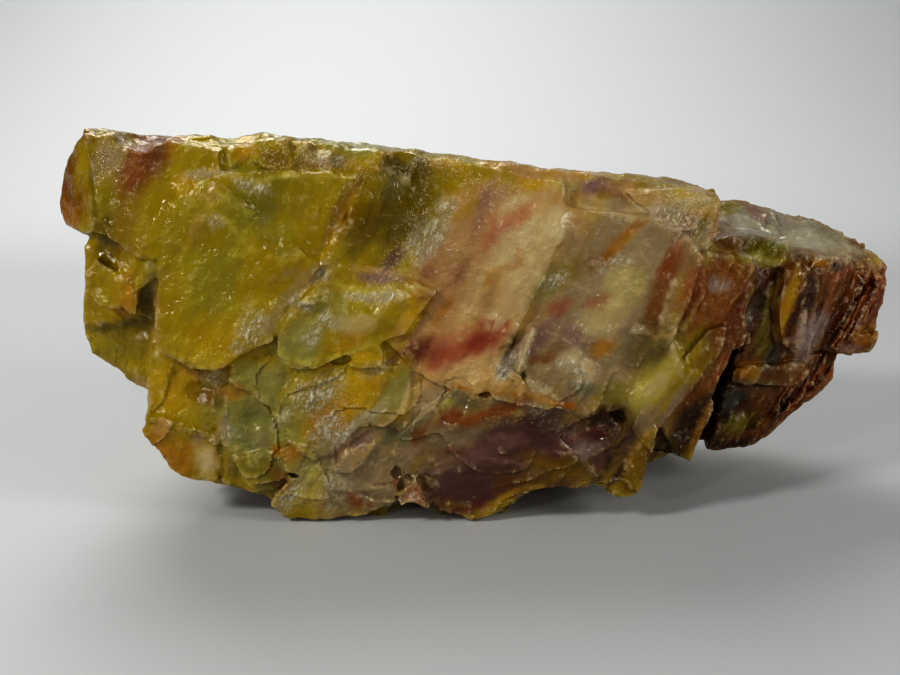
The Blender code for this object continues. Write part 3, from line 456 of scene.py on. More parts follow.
# Soft patches of colour on the front: hue, middle (x, z), half length, half width, turn in degrees
# of the long way from level, and strength. Later ones lie over earlier ones. A patch is whole out to
# the first of these shares of its half lengths, and gone at the second.
PATCH_EDGE = (0.45, 1.30)
PATCHES = [
    # broad grounds
    ("tan", 6, 56, 46, 17, 62, 1.0),
    ("rose", 0, 62, 26, 9, 60, 0.7),
    ("cream", 6, 56, 26, 7, 62, 0.6),
    ("taupe", 30, 52, 42, 17, 62, 1.0),
    ("brown", 70, 40, 46, 20, 62, 1.0),
    ("purple", 10, 16, 34, 13, 8, 0.95),
    ("taupe", -26, 12, 22, 11, 12, 0.9),
    ("sage", -48, 22, 17, 11, -55, 0.9),
    # head
    ("brown", -74, 70, 10, 5, 75, 0.35),
    ("russet", -86, 76, 12, 3.6, 82, 0.9),
    ("amber", -86.5, 71, 6, 2.4, 80, 0.6),
    ("tan", -85.5, 85.5, 4.5, 1.6, 62, 0.8),
    # painted shade: the dark line in the crease of the head
    ("dark olive", -80.6, 78, 10, 1.1, 88, 0.6),
    ("russet", -81.5, 87.5, 3, 1.8, -20, 0.6),
    ("taupe", -75.5, 83.5, 7, 4.6, 60, 0.85),
    ("mauve", -73.5, 79, 5, 2.2, 50, 0.3),
    ("russet", -67.5, 83.5, 9, 5, 60, 0.95),
    # painted shade in the shadowed valley at the top of the head
    ("umber", -67, 84.3, 3.4, 2.4, 60, 0.5),
    ("brown", -65, 87.4, 4.5, 2.4, 0, 0.7),
    ("rust", -70.5, 82, 7, 2.4, 60, 0.45),
    ("amber", -62, 85.5, 4, 2.4, 90, 0.5),
    ("olive", -78, 73, 6, 3.5, 75, 0.5),
    ("dark olive", -78.5, 66, 6, 1.8, 75, 0.5),
    # left flank
    ("amber", -75.5, 54, 6, 2.6, 100, 0.8),
    ("gold", -76.5, 57, 3, 1.8, 60, 0.4),
    # painted shade in the recess of the left flank
    ("dark olive", -70.5, 51.5, 4.5, 2.4, 85, 0.8),
    ("slate", -69, 57, 4, 2.2, 75, 0.4),
    # painted shadow on the floor under the leaf, where its overhang shades it
    ("dark olive", -79, 47.3, 8, 1.6, -4, 0.8),
    ("olive", -76, 43, 8, 4, 10, 0.5),
    # pale rim on the plate's left edge: partly chipped stone, partly a painted highlight
    ("tan", -69.3, 47, 9, 0.9, 86, 0.6),
    # main plate and green scar
    ("moss", -57, 57, 10, 6, 60, 0.55),
    ("olive", -62, 66, 12, 5, 60, 0.3),
    ("olive", -48, 73.5, 10, 5, 50, 0.6),
    ("moss", -47, 73, 6, 3.6, 50, 0.4),
    ("moss", -45, 69, 9, 4, -40, 0.45),
    ("slate", -45, 71, 4.5, 2.4, 60, 0.3),
    ("olive", -40, 75, 6, 8, 70, 0.3),
    ("moss", -51, 86.5, 3, 3, 0, 0.2),
    ("gold", -60, 77, 3, 2, 0, 0.6),
    ("gold", -48, 85.3, 3.6, 2.6, 90, 0.8),
    ("amber", -49.5, 83.5, 2.2, 2, 0, 0.5),
    ("olive", -48, 81, 6, 1.6, 6, 0.6),
    ("gold", -57, 42, 9, 5, 25, 0.4),
    # crest
    ("mustard", -39.5, 84, 6, 2, -10, 0.75),
    ("brown", -42.5, 83.5, 2.4, 2.4, 0, 0.5),
    ("brown", -36, 82, 5, 1.6, 0, 0.55),
    ("taupe", -31, 83, 7, 2.2, -6, 0.7),
    ("slate", -29, 83, 3, 1.2, -40, 0.7),
    ("gold", -22, 81.5, 5, 1.6, -8, 0.6),
    ("dark olive", -16, 80.5, 4, 2.6, -30, 0.85),
    ("amber", -18.5, 83, 2, 1.2, 0, 0.5),
    ("gold", -6, 81.5, 6, 2, -14, 0.85),
    ("mustard", 4, 79, 6, 2, -14, 0.8),
    ("tan", 2, 76.5, 5, 2, 40, 0.5),
    ("sage", -28, 87, 15, 2.4, -9, 0.9),
    # trough and its snow
    # painted shade beside the ridge of the green slab, where the face turns from the light
    ("dark olive", -23, 70, 9, 3.2, 62, 0.55),
    ("old gold", -26, 72, 10, 3, 62, 0.8),
    ("dark olive", -15, 73, 14, 7, 62, 0.8),
    ("slate", -17, 77, 3.5, 2.5, 60, 0.35),
    ("slate", -8, 68, 7, 3.4, 60, 0.4),
    ("tan", -4, 74, 4, 2.4, 60, 0.5),
    ("purple", -17, 60.5, 4.5, 2, 30, 0.75),
    ("mauve", 1, 72, 6, 1.8, 62, 0.6),
    # rose and cream sheet
    ("rose", -6, 63, 9, 4, 60, 0.7),
    ("maroon", -3.5, 59, 5, 1.6, 60, 0.45),
    ("blush", 4, 67, 4, 1.6, 55, 0.6),
    ("cream", 9, 72.5, 5, 2, 30, 0.7),
    ("blush", 9, 71, 5, 1.8, 30, 0.6),
    ("cream", 9, 64, 8, 4, 62, 0.6),
    ("cream", 17.5, 69, 4, 2.6, 75, 0.9),
    ("amber", 4, 57, 5, 1.5, 60, 0.8),
    ("amber", 9, 61, 3, 1, 60, 0.5),
    ("amber", -7.5, 50, 4.5, 1.3, 60, 0.75),
    ("tan", 2, 51, 9, 3, 60, 0.5),
    ("brown", 1, 49, 7, 2.4, 60, 0.35),
    ("tan", -3, 45, 7, 3, 60, 0.5),
    ("maroon", -11, 55, 6, 1.6, 60, 0.4),
    ("rose", -13, 45, 6, 2.6, 60, 0.7),
    ("blush", -3, 42, 11, 4.2, 22, 0.6),
    ("brick", -3, 41, 9, 2.4, 22, 0.65),
    ("brick", 2.5, 43.5, 5, 2.6, 35, 0.7),
    ("maroon", -14, 40, 7, 3.6, 30, 0.95),
    ("cream", 4.5, 47.5, 2.6, 2.2, 0, 0.5),
    ("tan", -6, 35, 5, 1.6, 0, 0.6),
    # right plate
    ("gold", 12, 77.5, 4, 1.8, 0, 0.8),
    ("mauve", 26, 77, 8, 2.4, 0, 1.0),
    ("maroon", 28, 75.8, 5, 1.3, 8, 0.3),
    ("lemon", 19, 77, 4, 1.6, 0, 0.5),
    ("tan", 36, 75.3, 9, 2.8, -12, 0.75),
    ("cream", 33, 72.8, 8, 1, -10, 0.8),
    ("taupe", 28, 67, 9, 5, 50, 0.8),
    ("amber", 31.5, 65, 7.5, 2, 42, 0.9),
    ("rust", 34.5, 68.5, 3, 1.4, 42, 0.6),
    ("brown", 24, 60.5, 7, 2.2, 25, 0.5),
    ("olive", 20, 59, 6, 3, 55, 0.4),
    ("sage", 15, 55, 6, 2.4, 60, 0.6),
    ("cream", 29, 51, 8, 4.5, 60, 0.6),
    ("lemon", 30, 52, 9, 4.5, 60, 0.25),
    ("brick", 19, 51, 4, 2, 20, 0.55),
    ("brick", 26.5, 52, 3, 1.6, 20, 0.45),
    ("lemon", 35.5, 55.5, 4, 1.6, 75, 0.3),
    ("russet", 40.5, 54, 10, 2.6, 72, 0.85),
    ("rust", 44, 65, 9, 2.4, 72, 0.6),
    ("cream", 46, 74.2, 5, 3, -20, 0.8),
    ("amber", 48, 72, 3, 2, 0, 0.4),
    ("gold", 44.5, 75.5, 2.5, 1.5, 0, 0.6),
    ("blush", 51, 70, 5, 1.4, 85, 0.5),
    ("dark olive", 38, 42, 7, 6, 60, 0.6),
    ("lemon", 40.5, 34, 9, 4.2, 60, 0.8),
    ("cream", 40, 33, 4, 2, 60, 0.5),
    ("gold", 49.5, 40.5, 3, 1.4, 60, 0.8),
    ("slate", 52, 46, 7, 2, 75, 0.5),
    ("slate", 31, 42, 5, 2, 60, 0.4),
    ("rust", 47, 54, 8, 3.8, 75, 0.75),
    ("russet", 48, 51, 6, 2.4, 75, 0.5),
    ("rust", 53, 53, 12, 6, 78, 0.8),
    ("russet", 56, 47, 10, 3.4, 68, 0.85),
    ("maroon", 58.5, 52, 7, 1.6, 75, 0.6),
    # painted reflection: the glossy purple-grey spot on the flank
    ("lavender", 53.5, 56, 3, 2, -30, 0.7),
    # purple block below the plate
    ("mauve", 13, 44, 6, 3, 50, 0.8),
    ("dark brown", 7.5, 43, 3.4, 1.4, 70, 0.8),
    ("lavender", 7, 38.5, 3.4, 2, 50, 0.9),
    ("cream", 11, 42.5, 5, 0.7, 70, 0.9),
    ("russet", 15, 39, 4, 1.6, 10, 0.8),
    ("brown", 18, 42, 3, 1.6, 20, 0.5),
    ("taupe", 13, 36, 5, 1.8, 0, 0.7),
    ("cream", 23, 38, 5, 3, -40, 0.85),
    ("slate", 23, 36.8, 1.6, 0.8, 0, 0.6),
    ("amber", 27.5, 42.5, 4, 2.4, 0, 0.8),
    ("mauve", 22, 44.5, 4, 2, -40, 0.6),
    ("slate", 24, 33, 5, 2, -10, 0.6),
    ("olive", 30, 30, 5, 4, 0, 0.6),
    ("tan", 9, 33, 8, 1.8, -25, 0.9),
    ("cream", 14, 32, 3, 1.4, -10, 0.5),
    ("rust", 20, 28.6, 4, 0.8, -15, 0.9),
    # lower left
    ("gold", -67, 32, 7, 6, 60, 0.7),
    ("tan", -73.5, 31, 4, 1.6, 75, 0.7),
    ("brown", -59, 30, 4, 2, 0, 0.7),
    ("amber", -57, 35.5, 4, 2.4, 20, 0.7),
    ("amber", -69, 17, 8, 5, -50, 0.8),
    ("tan", -70, 22.5, 3, 2, 0, 0.5),
    ("cream", -60.5, 14.5, 4, 2.4, 80, 0.9),
    ("gold", -58.5, 11, 2.4, 1.4, 60, 0.6),
    ("lavender", -62, 20.5, 3, 1.4, 60, 0.5),
    ("sage", -49, 24, 12, 6, -55, 0.5),
    ("slate", -52, 20, 5, 3, -55, 0.4),
    ("lavender", -56.5, 24, 6, 1.6, 62, 0.6),
    ("amber", -53, 32, 4, 2, 0, 0.7),
    ("olive", -48, 13, 5, 3, -10, 0.7),
    ("taupe", -47.5, 19.5, 3, 2, -20, 0.45),
    ("amber", -41, 17, 4, 2.4, -10, 0.85),
    ("russet", -44, 11.5, 3.4, 3, -50, 0.8),
    ("sage", -47, 35, 6, 3.6, -15, 0.8),
    ("sage", -38, 43, 8, 5, 60, 0.85),
    ("gold", -28, 43, 5, 2, 50, 0.8),
    ("gold", -23, 40.5, 4, 1.6, 10, 0.85),
    ("brown", -31, 39, 3, 1, 20, 0.5),
    # arrowhead
    ("sage", -30, 50, 7, 3.6, 0, 0.6),
    ("gold", -34, 55.5, 4, 1.2, 40, 0.7),
    ("mauve", -20, 57.3, 6, 1.6, -10, 0.85),
    ("cream", -20, 52.6, 6, 1.2, -6, 0.7),
    ("gold", -13.5, 50, 6, 2, 65, 0.9),
    ("amber", -12, 53, 3, 1.6, 60, 0.4),
    ("cream", -26, 47.5, 4, 2.4, 10, 0.5),
    # yellow slope and pale bands below
    ("gold", -25, 33, 10, 4, 60, 0.85),
    ("amber", -32, 25, 7, 4, 40, 0.6),
    ("gold", -28, 27, 4, 2, 50, 0.5),
    ("mustard", -17, 36, 6, 3, 55, 0.7),
    ("sage", -17, 31, 7, 3, 60, 0.8),
    ("taupe", -9, 30, 6, 3, 30, 0.8),
    ("pale grey", -24, 24, 6, 1.6, 40, 0.6),
    ("slate", -15, 23, 7, 2.4, 40, 0.8),
    ("slate", -28, 15, 12, 6, 40, 0.35),
    ("mauve", -27, 17.5, 6, 2.4, 35, 0.6),
    ("tan", -27, 15.5, 4, 1.6, 10, 0.4),
    ("taupe", -24, 10, 8, 6, 60, 0.8),
    ("lemon", -37, 8, 7, 3, 50, 0.7),
    ("rust", -27, 5, 2.4, 1.4, -50, 0.8),
    ("rust", -23, 4.5, 1.6, 0.8, -50, 0.6),
    ("rust", -17, 11.5, 1.4, 0.8, 60, 0.6),
    ("blush", -13.5, 7, 3.6, 3, 20, 0.8),
    # lower middle
    ("slate", -3, 29, 5, 2.4, 10, 0.7),
    ("lemon", -5.5, 27.8, 1.6, 1.6, 0, 0.8),
    ("rust", -2, 24.5, 6, 2, 20, 0.8),
    ("rust", 7, 27, 6, 2, 10, 0.85),
    ("russet", -12, 20.5, 2.4, 2.4, 0, 0.8),
    ("taupe", -3, 20.5, 8, 2.6, 20, 0.75),
    ("purple", 14, 22, 11, 3, 0, 0.85),
    ("umber", 18, 23.5, 7, 2.4, 0, 0.5),
    ("mauve", 4, 17.5, 8, 2, 10, 0.5),
    ("maroon", -4, 17, 3, 1.2, 0, 0.5),
    ("purple", -1, 9, 10, 5, 8, 0.85),
    ("maroon", -3, 3.5, 6, 2, 5, 0.7),
    ("brown", 8, 9, 5, 3, 0, 0.7),
    ("gold", 7, 5, 5, 1, 30, 0.5),
    ("old gold", 18, 13.5, 8, 4, 0, 0.95),
    ("old gold", 13, 9.5, 4, 1.4, 0, 0.6),
    ("lavender", 25, 18, 4, 2.6, 0, 0.6),
    ("umber", 29, 24.5, 7, 3.6, 10, 0.95),
    ("maroon", 25, 21, 5, 1.4, 10, 0.6),
    ("old gold", 36, 13, 9, 3, 68, 0.95),
    ("dark brown", 32.5, 11, 4, 1, 65, 0.85),
    ("taupe", 39, 24.5, 4, 2.6, 60, 0.7),
    ("lavender", 44.5, 29, 8, 1.6, 55, 0.6),
    ("umber", 48, 23, 13, 4.4, 60, 1.0),
    ("dark olive", 43, 17, 6, 2, 60, 0.7),
    ("russet", 48.5, 30.5, 5, 1.8, 55, 0.7),
    ("rust", 53.5, 36, 9, 1.8, 60, 0.8),
    ("amber", 51, 24, 8, 1.2, 66, 0.5),
]

# The same for the split plates at the right end, on a sheet further back. They begin at a line that
# leans to the right: where it starts (x, z), and how much x it gains with height.
END_SHEET_Y = -10.0
END_LINE_START = (47.5, 10)
END_LINE_LEAN = 0.2
END_PATCHES = [
    ("taupe", 72, 64, 22, 6, -16, 1.0),
    # painted reflection: the pale blue-grey of the plateau top, where it mirrors the wall
    ("reflected blue grey", 66, 65, 14, 3.5, -10, 0.4),
    ("pale grey", 72, 63.5, 18, 3.4, -14, 0.7),
    ("moss", 56.5, 68.8, 4.5, 0.9, 0, 0.8),
    ("mauve", 63, 68, 4, 1.4, -25, 0.7),
    ("lavender", 76, 64, 8, 1.2, -12, 0.5),
    ("slate", 81, 62, 5, 1.6, -30, 0.4),
    ("olive", 66, 60, 6, 2.8, -8, 0.95),
    ("brown", 60, 60.5, 6, 1.4, 0, 0.7),
    ("lemon", 66, 57, 6, 1.2, -6, 0.85),
    ("pale grey", 62, 58.5, 5, 0.8, -20, 0.6),
    ("lemon", 94.5, 56.5, 4, 3, -50, 0.8),
    ("dark olive", 60, 55, 5, 1.6, 0, 0.8),
    ("maroon", 63.5, 54.5, 3.4, 1.4, 20, 0.8),
    ("rust", 64, 51, 4, 1.2, 60, 0.7),
    ("umber", 63, 49, 6, 2, 70, 0.4),
    ("slate", 64.5, 46, 4, 2, 70, 0.7),
    ("purple", 64.5, 44, 4, 1.8, 75, 0.5),
    ("russet", 55, 52, 12, 4, 75, 0.85),
    ("maroon", 57.5, 46, 8, 2, 70, 0.6),
    ("umber", 67.5, 50, 7, 3, 80, 0.5),
    ("moss", 69, 46, 6, 1.8, 80, 0.7),
    ("amber", 70.5, 49, 4, 0.8, 80, 0.7),
    ("gold", 73.5, 47, 9, 1.5, 82, 0.8),
    ("amber", 72.3, 44, 4, 0.8, 80, 0.7),
    ("cream", 72, 47.5, 2, 0.5, 85, 0.7),
    ("lavender", 79, 41, 6, 1.4, 78, 0.9),
    ("umber", 76.5, 46, 9, 1.2, 80, 0.8),
    ("lavender", 78, 34, 5, 1.8, 75, 0.7),
    ("teal", 70.5, 34, 4, 2.6, 70, 0.6),
    ("olive", 68, 38, 5, 2.4, 70, 0.7),
    ("amber", 63.5, 31, 4, 2, 10, 0.9),
    ("gold", 67, 30, 3, 1.2, 60, 0.5),
    ("blush", 81.5, 49, 7, 1.1, 75, 0.25),
    ("brick", 83.5, 54, 4, 1.2, 20, 0.4),
    ("amber", 79, 56.3, 3, 1, 10, 0.6),
    ("dark brown", 83, 56.2, 2.2, 1.2, -20, 0.9),
    ("rust", 90, 46, 12, 6, 62, 0.9),
    ("umber", 85.5, 44, 11, 1.6, 65, 0.5),
    ("rust", 92, 48, 8, 2, 62, 0.7),
    ("brick", 95, 50, 5, 1.6, 60, 0.6),
    ("amber", 91.5, 39, 4, 2, 20, 0.8),
    ("mauve", 87, 36, 4, 1, 0, 0.7),
    ("black", 60, 21, 6, 4, 20, 0.6),
    ("teal", 61, 24, 4, 2.4, 20, 0.8),
    ("olive", 65, 18, 6, 3, 10, 0.85),
    ("dark brown", 63, 12, 7, 2.4, 0, 0.85),
    ("russet", 75, 23, 12, 4.5, 50, 0.75),
    ("rust", 79, 25, 9, 2, 52, 0.8),
    ("rust", 83.5, 29.5, 5, 1.2, 60, 0.7),
    ("dark brown", 74, 21, 6, 1.4, 55, 0.7),
    ("maroon", 55, 22, 9, 0.9, 66, 0.8),
    ("maroon", 61.5, 38, 5, 1.4, 62, 0.7),
    ("rust", 60.5, 41, 3, 1.2, 60, 0.8),
    ("lavender", 79.3, 41, 6, 2, 78, 1.0),
    ("russet", 71, 18, 5, 1.6, 50, 0.5),
]

# Thin lines on the front sheet: hue, the points they run through, half width and strength. The pale
# lines along the edges of plates are partly chipped stone and partly a painted highlight.
LINES = [
    # painted highlights: the two lemon arcs are the bright rims of low steps that the relief doesn't
    # have
    ("lemon", [(-56, 73), (-53.5, 70), (-50, 66.5), (-47, 63), (-44, 61.8), (-40, 61.5),
               (-37, 62.5)], 0.6, 0.6),
    ("lemon", [(-57, 79), (-53, 74), (-49.5, 72), (-46.5, 71)], 0.5, 0.6),
    ("tan", [(-55, 77), (-57, 73), (-59, 69), (-62, 64)], 0.8, 0.4),
    ("tan", [(-61, 78.5), (-55, 80.5), (-50, 79)], 0.7, 0.6),
    # painted highlight on the lip of the plate's top edge, then painted shade in the groove along the
    # lens-shaped ledge above it
    ("lemon", [(-53, 79.5), (-46, 78), (-40, 79.6), (-30, 79), (-22, 79.6)], 0.5, 0.8),
    ("dark olive", [(-53, 80.3), (-48, 82.8), (-43, 80.5)], 0.4, 0.7),
    ("gold", [(-24, 77), (-28, 70), (-33, 60)], 0.7, 0.6),
    ("taupe", [(-31, 60.3), (-36, 57), (-41, 52), (-45, 46)], 1.5, 0.8),
    ("taupe", [(-43, 58), (-39, 58.3), (-33, 58)], 0.6, 0.7),
    ("lemon", [(-31, 56), (-24, 54.6), (-16, 54.4), (-10, 55)], 0.45, 0.8),
    ("tan", [(-26, 59.8), (-18, 58.6), (-9, 56)], 0.7, 0.7),
    ("lemon", [(-43, 41), (-38, 38.2), (-33, 38.6), (-27, 41), (-20, 44)], 0.5, 0.7),
    ("gold", [(-19, 43), (-14, 45.5), (-9.5, 53.5)], 0.5, 0.6),
    ("maroon", [(-18, 43.5), (-13.5, 45), (-9, 53.5), (-5, 57)], 0.5, 0.4),
    ("cream", [(-16, 77.5), (-14, 79), (-18, 80.4)], 0.4, 0.8),
    ("cream", [(19, 71), (18, 66), (15, 61), (11, 54), (9, 47), (5, 38)], 0.5, 0.6),
    ("cream", [(14.6, 67), (14.8, 63), (9, 59), (7, 54), (8, 49)], 0.4, 0.5),
    ("brick", [(1, 47), (4, 47.6), (8.5, 46.5)], 0.45, 0.9),
    ("cream", [(20, 73.4), (28, 72), (33, 71), (40, 69.5)], 0.45, 0.6),
    ("cream", [(43, 57), (41.5, 52), (41, 48.5), (43.5, 45.5)], 0.45, 0.8),
    ("maroon", [(42, 66), (46, 62), (51, 58)], 0.3, 0.4),
    ("tan", [(31, 47), (35, 46), (40, 44.2), (44, 45)], 0.35, 0.7),
    ("lemon", [(-69.5, 41.5), (-62, 37.5), (-57, 36)], 0.5, 0.6),
    ("brown", [(-68, 40), (-61, 36), (-56, 34)], 0.8, 0.5),
    ("brown", [(-63, 31), (-58, 32), (-55, 31)], 0.5, 0.6),
    ("amber", [(-6, 33), (-2, 32.2), (3, 31.8), (12, 30.2), (20, 28.4), (22, 28)], 0.55, 0.9),
    ("cream", [(-13, 38), (-14, 33), (-15, 29), (-19, 24)], 0.4, 0.6),
    ("cream", [(-5, 33), (-8, 30), (-10, 27.5), (-13, 25)], 0.4, 0.6),
    ("tan", [(-31, 13.5), (-27, 14), (-24, 16.5), (-21.5, 20)], 0.4, 0.7),
    ("mauve", [(-9, 12), (-5, 14.8), (4, 15.6), (10, 14.4), (16, 12)], 0.4, 0.7),
    ("mauve", [(3, 20), (7, 21), (12, 20.2)], 0.35, 0.6),
    ("gold", [(0, 0.6), (5, 3), (10, 7.6), (15, 8.6)], 0.6, 0.6),
    ("black", [(34, 21), (31, 15.5), (28.2, 10)], 0.35, 0.85),
    ("tan", [(38.5, 22), (36, 17), (34.5, 14)], 0.35, 0.7),
    ("cream", [(42.5, 44), (44.5, 38), (46, 35)], 0.6, 0.6),
    ("lemon", [(-36, 15.5), (-40, 20), (-44, 26), (-47, 30)], 0.5, 0.6),
    ("lemon", [(-54, 20), (-51, 17), (-50, 15.5), (-52, 12), (-50.5, 9)], 0.4, 0.6),
    ("tan", [(-57.3, 9), (-57.3, 14), (-58.5, 18.5), (-62, 18.5), (-65.5, 22)], 0.45, 0.6),
]
END_LINES = [
    # painted shade: a black line in the open split between the main mass and the books
    ("black", [(59.5, 37), (57.5, 32), (55, 24), (53, 15), (52, 11)], 0.9, 0.9),
    ("maroon", [(62, 38), (59, 33), (56.5, 25), (55, 15), (54, 10.5)], 0.7, 0.8),
    ("slate", [(58, 28.5), (64, 27.4), (70, 27), (76, 28.4)], 0.5, 0.7),
    ("cream", [(69.6, 41), (71, 38.5), (74, 37)], 0.5, 0.7),
    ("cream", [(54, 61), (58, 59.5), (63, 58), (68, 57)], 0.4, 0.6),
    ("brick", [(81.5, 45), (83, 50), (86, 56)], 0.5, 0.35),
    ("dark brown", [(83, 36), (86.5, 44), (90, 53)], 0.6, 0.9),
    ("dark brown", [(87, 37), (90, 44), (93, 52)], 0.45, 0.8),
    ("dark brown", [(90.5, 38), (93, 44), (95.5, 51)], 0.35, 0.7),
    ("dark brown", [(70, 15), (75, 22), (80, 30), (83, 35)], 0.5, 0.8),
    ("dark brown", [(75, 18), (80, 25), (84, 31)], 0.4, 0.7),
]

# White feathery bruises, where the stone is crushed: middle, half length, half width, turn, strength.
BRUISES = [
    (-48, 46.5, 5.5, 3.6, 60, 0.75), (-9, 65.5, 6, 3, 55, 0.9), (-5.5, 72.5, 3, 2, 60, 0.7),
    (-33.5, 31, 7, 3.4, 55, 1.0), (-33, 22.5, 4.5, 2.4, 50, 1.0), (-29, 20.5, 3, 1.2, 45, 0.9),
    (-39.5, 31, 3, 1.6, 70, 0.6), (-22, 37, 4, 1.5, 30, 0.6), (-22, 53, 5, 1.3, -5, 0.9),
    (-31, 47.5, 4, 1.2, 0, 0.7), (-37, 51, 3, 1.4, -20, 0.8), (-33, 56.5, 3, 1, 40, 0.8),
    (-36, 44, 3.4, 2.4, 40, 0.5), (7, 38.5, 3.4, 2.2, 50, 1.0), (12, 42.5, 5, 0.9, 70, 0.9),
    (17.5, 56.5, 3.6, 1.2, 25, 0.8), (20, 22.5, 6, 2.4, -8, 0.12), (13.5, 27, 4, 1.4, -10, 0.5),
    (-15, 6, 3.4, 2.6, 0, 0.7), (44, 69, 7, 4, -35, 0.6), (-58, 34.5, 3, 1.6, 20, 0.6),
    (-55, 79.5, 4, 1, 0, 0.8), (-47.5, 76.5, 4, 1.2, -15, 0.7), (-55.5, 69, 2, 1.6, -40, 0.5),
    (14, 32.5, 3, 1.2, -15, 0.6), (21, 38, 3, 1.4, -20, 0.8), (22, 34, 3, 1, 0, 0.6),
    (-42, 6, 6, 3, 40, 0.6), (-32, 8, 6, 4, 50, 0.35), (-69.5, 61, 3, 0.8, 90, 0.7),
    (-55, 22, 3, 1.6, 60, 0.5), (-42, 25, 4, 1, 50, 0.5), (30, 60.5, 4, 1, -10, 0.5),
    # the last bruise on the next line makes the same glossy flank spot paler, part of that painted
    # reflection
    (34, 46.5, 4, 0.8, -10, 0.6), (-52.5, 42, 1.6, 1.4, 90, 0.9), (53.5, 56, 2.4, 1.4, -30, 0.3),
]

# Granular places of the break, in the same form, with rougher relief and grains painted pale as glints.
GRAINY_WITH_GLINTS = [
    (-40, 83.5, 9, 3, -8, 1.0), (-25, 81.5, 12, 2.6, -6, 1.0), (-5, 80.5, 9, 3, -14, 1.0),
    (6, 76, 8, 4, 0, 0.7), (-76, 83, 7, 5, 60, 0.7), (46, 71, 8, 6, -20, 0.8), (-14, 64, 12, 6, 60, 0.6),
    (-32, 27, 9, 5, 60, 0.8), (-22, 57, 7, 2, -8, 0.5), (-56, 36, 5, 3, 0, 0.6), (-13, 7, 5, 4, 0, 0.6),
    (24, 77.5, 10, 2, 0, 0.4), (0, 62, 12, 6, 60, 0.3), (10, 25, 10, 3, 0, 0.5),
]

# Clean smooth breaks, where the relief is low, in the same form.
CALM = [
    (-55, 56, 24, 11, 60, 1.0), (-19, 68, 13, 8, 60, 1.0), (2, 57, 20, 10, 60, 1.0),
    (29, 56, 17, 13, 60, 1.0), (40, 36, 12, 7, 60, 0.9), (-68, 76, 8, 7, 60, 0.8), (0, 9, 9, 4, 8, 0.9),
    (10, 20, 9, 5, 0, 1.0), (-23, 14, 9, 6, 40, 0.9),
]

# Places whose arrises are worn round and soft, in the same form.
WORN = [
    (3, 70, 26, 5, 0, 1.0), (-66, 74, 12, 5, 60, 1.0), (39, 31, 11, 7, 55, 0.9),
    (-25, 76, 6, 5, 0, 0.9), (-44, 66, 12, 4, -30, 0.6), (-30, 26, 14, 8, 40, 0.5),
    (-60, 50, 12, 8, 60, 0.5), (28, 69, 12, 3, -6, 0.6),
]

# The back, which the photograph doesn't show: the bands of the front carried through the stone, as
# patches in its own x and z.
BACK_PATCHES = [
    ("olive", -62, 52, 26, 12, 60, 0.9), ("mustard", -48, 30, 18, 8, 62, 0.9),
    ("mustard", -74, 34, 14, 7, 60, 0.8), ("pale grey", -34, 56, 30, 7, 62, 0.7),
    ("tan", -18, 48, 34, 8, 62, 0.7), ("rose", 4, 40, 26, 8, 62, 0.8),
    ("brick", 9, 36, 14, 2.6, 62, 0.5), ("amber", 22, 48, 24, 5, 62, 0.8),
    ("slate", 38, 34, 28, 9, 62, 0.85), ("pale grey", 48, 50, 18, 4, 62, 0.6),
    ("russet", 57, 40, 24, 5, 62, 0.85), ("olive", 70, 44, 20, 7, 62, 0.8),
    ("russet", 86, 46, 14, 6, 62, 0.85), ("rust", -78, 72, 12, 5, 70, 0.8),
    ("brown", -36, 70, 16, 3, 10, 0.4), ("mauve", -4, 18, 16, 7, 30, 0.8),
    ("purple", 14, 20, 12, 4, 30, 0.6), ("moss", -30, 14, 16, 8, 20, 0.7),
    ("amber", 34, 14, 12, 4, 40, 0.5),
]


def new_object(name, bm):
    """Puts a bmesh in the scene under a name."""
    mesh = bpy.data.meshes.new(name)
    bm.to_mesh(mesh)
    bm.free()
    made = bpy.data.objects.new(name, mesh)
    bpy.context.scene.collection.objects.link(made)
    return made


def hull(name, corners):
    """The convex hull of a few corners given in millimetres."""
    bm = bmesh.new()
    for corner in corners:
        bm.verts.new(Vector(corner) * MM)
    found = bmesh.ops.convex_hull(bm, input=bm.verts[:])
    spare = found["geom_interior"] + found["geom_unused"]
    unused = {item for item in spare if isinstance(item, bmesh.types.BMVert)}
    bmesh.ops.delete(bm, geom=list(unused), context="VERTS")
    bmesh.ops.recalc_face_normals(bm, faces=bm.faces[:])
    return new_object(name, bm)


def flake(name, outline, stand, lean, turn, depth=FLAKE_DEPTH):
    """A plate whose face is the outline, and whose root is the outline a little larger, further in."""
    middle_x = sum(x for x, z in outline) / len(outline)
    middle_z = sum(z for x, z in outline) / len(outline)
    corners = []
    for x, z in outline:
        face = stand + lean * (z - middle_z) + turn * (x - middle_x)
        corners.append((x, face, z))
        root_x = middle_x + (x - middle_x) * FLAKE_FLARE
        root_z = min(z, middle_z + (z - middle_z) * FLAKE_FLARE)
        corners.append((root_x, face + depth, root_z))
    return hull(name, corners)


def splinters(row):
    """A row of long thin splinters of wood fibre, side by side, their length along the grain."""
    first, last, count, length, width, proud = row
    first, last = Vector(first), Vector(last)
    rng = np.random.default_rng(count)
    across = (last - first).normalized()
    outward = across.cross(GRAIN).normalized()
    made = []
    for index in range(count):
        foot = first.lerp(last, (index + 0.5) / count) + GRAIN * rng.uniform(-0.2, 0.2) * length
        tip = foot + GRAIN * length * rng.uniform(0.7, 1.15)
        half = across * width * rng.uniform(0.35, 0.6)
        stand = outward * proud * rng.uniform(0.5, 1.2)
        root = -outward * proud * 3.0
        corners = []
        for end, share in ((foot, 1.0), (tip, 0.55)):
            corners += [end + stand * share, end + half * share + root, end - half * share + root]
            corners.append(end + half * 0.5 * share + stand * 0.55 * share)
        made.append(hull("splinter_%d" % index, [tuple(corner) for corner in corners]))
    return made


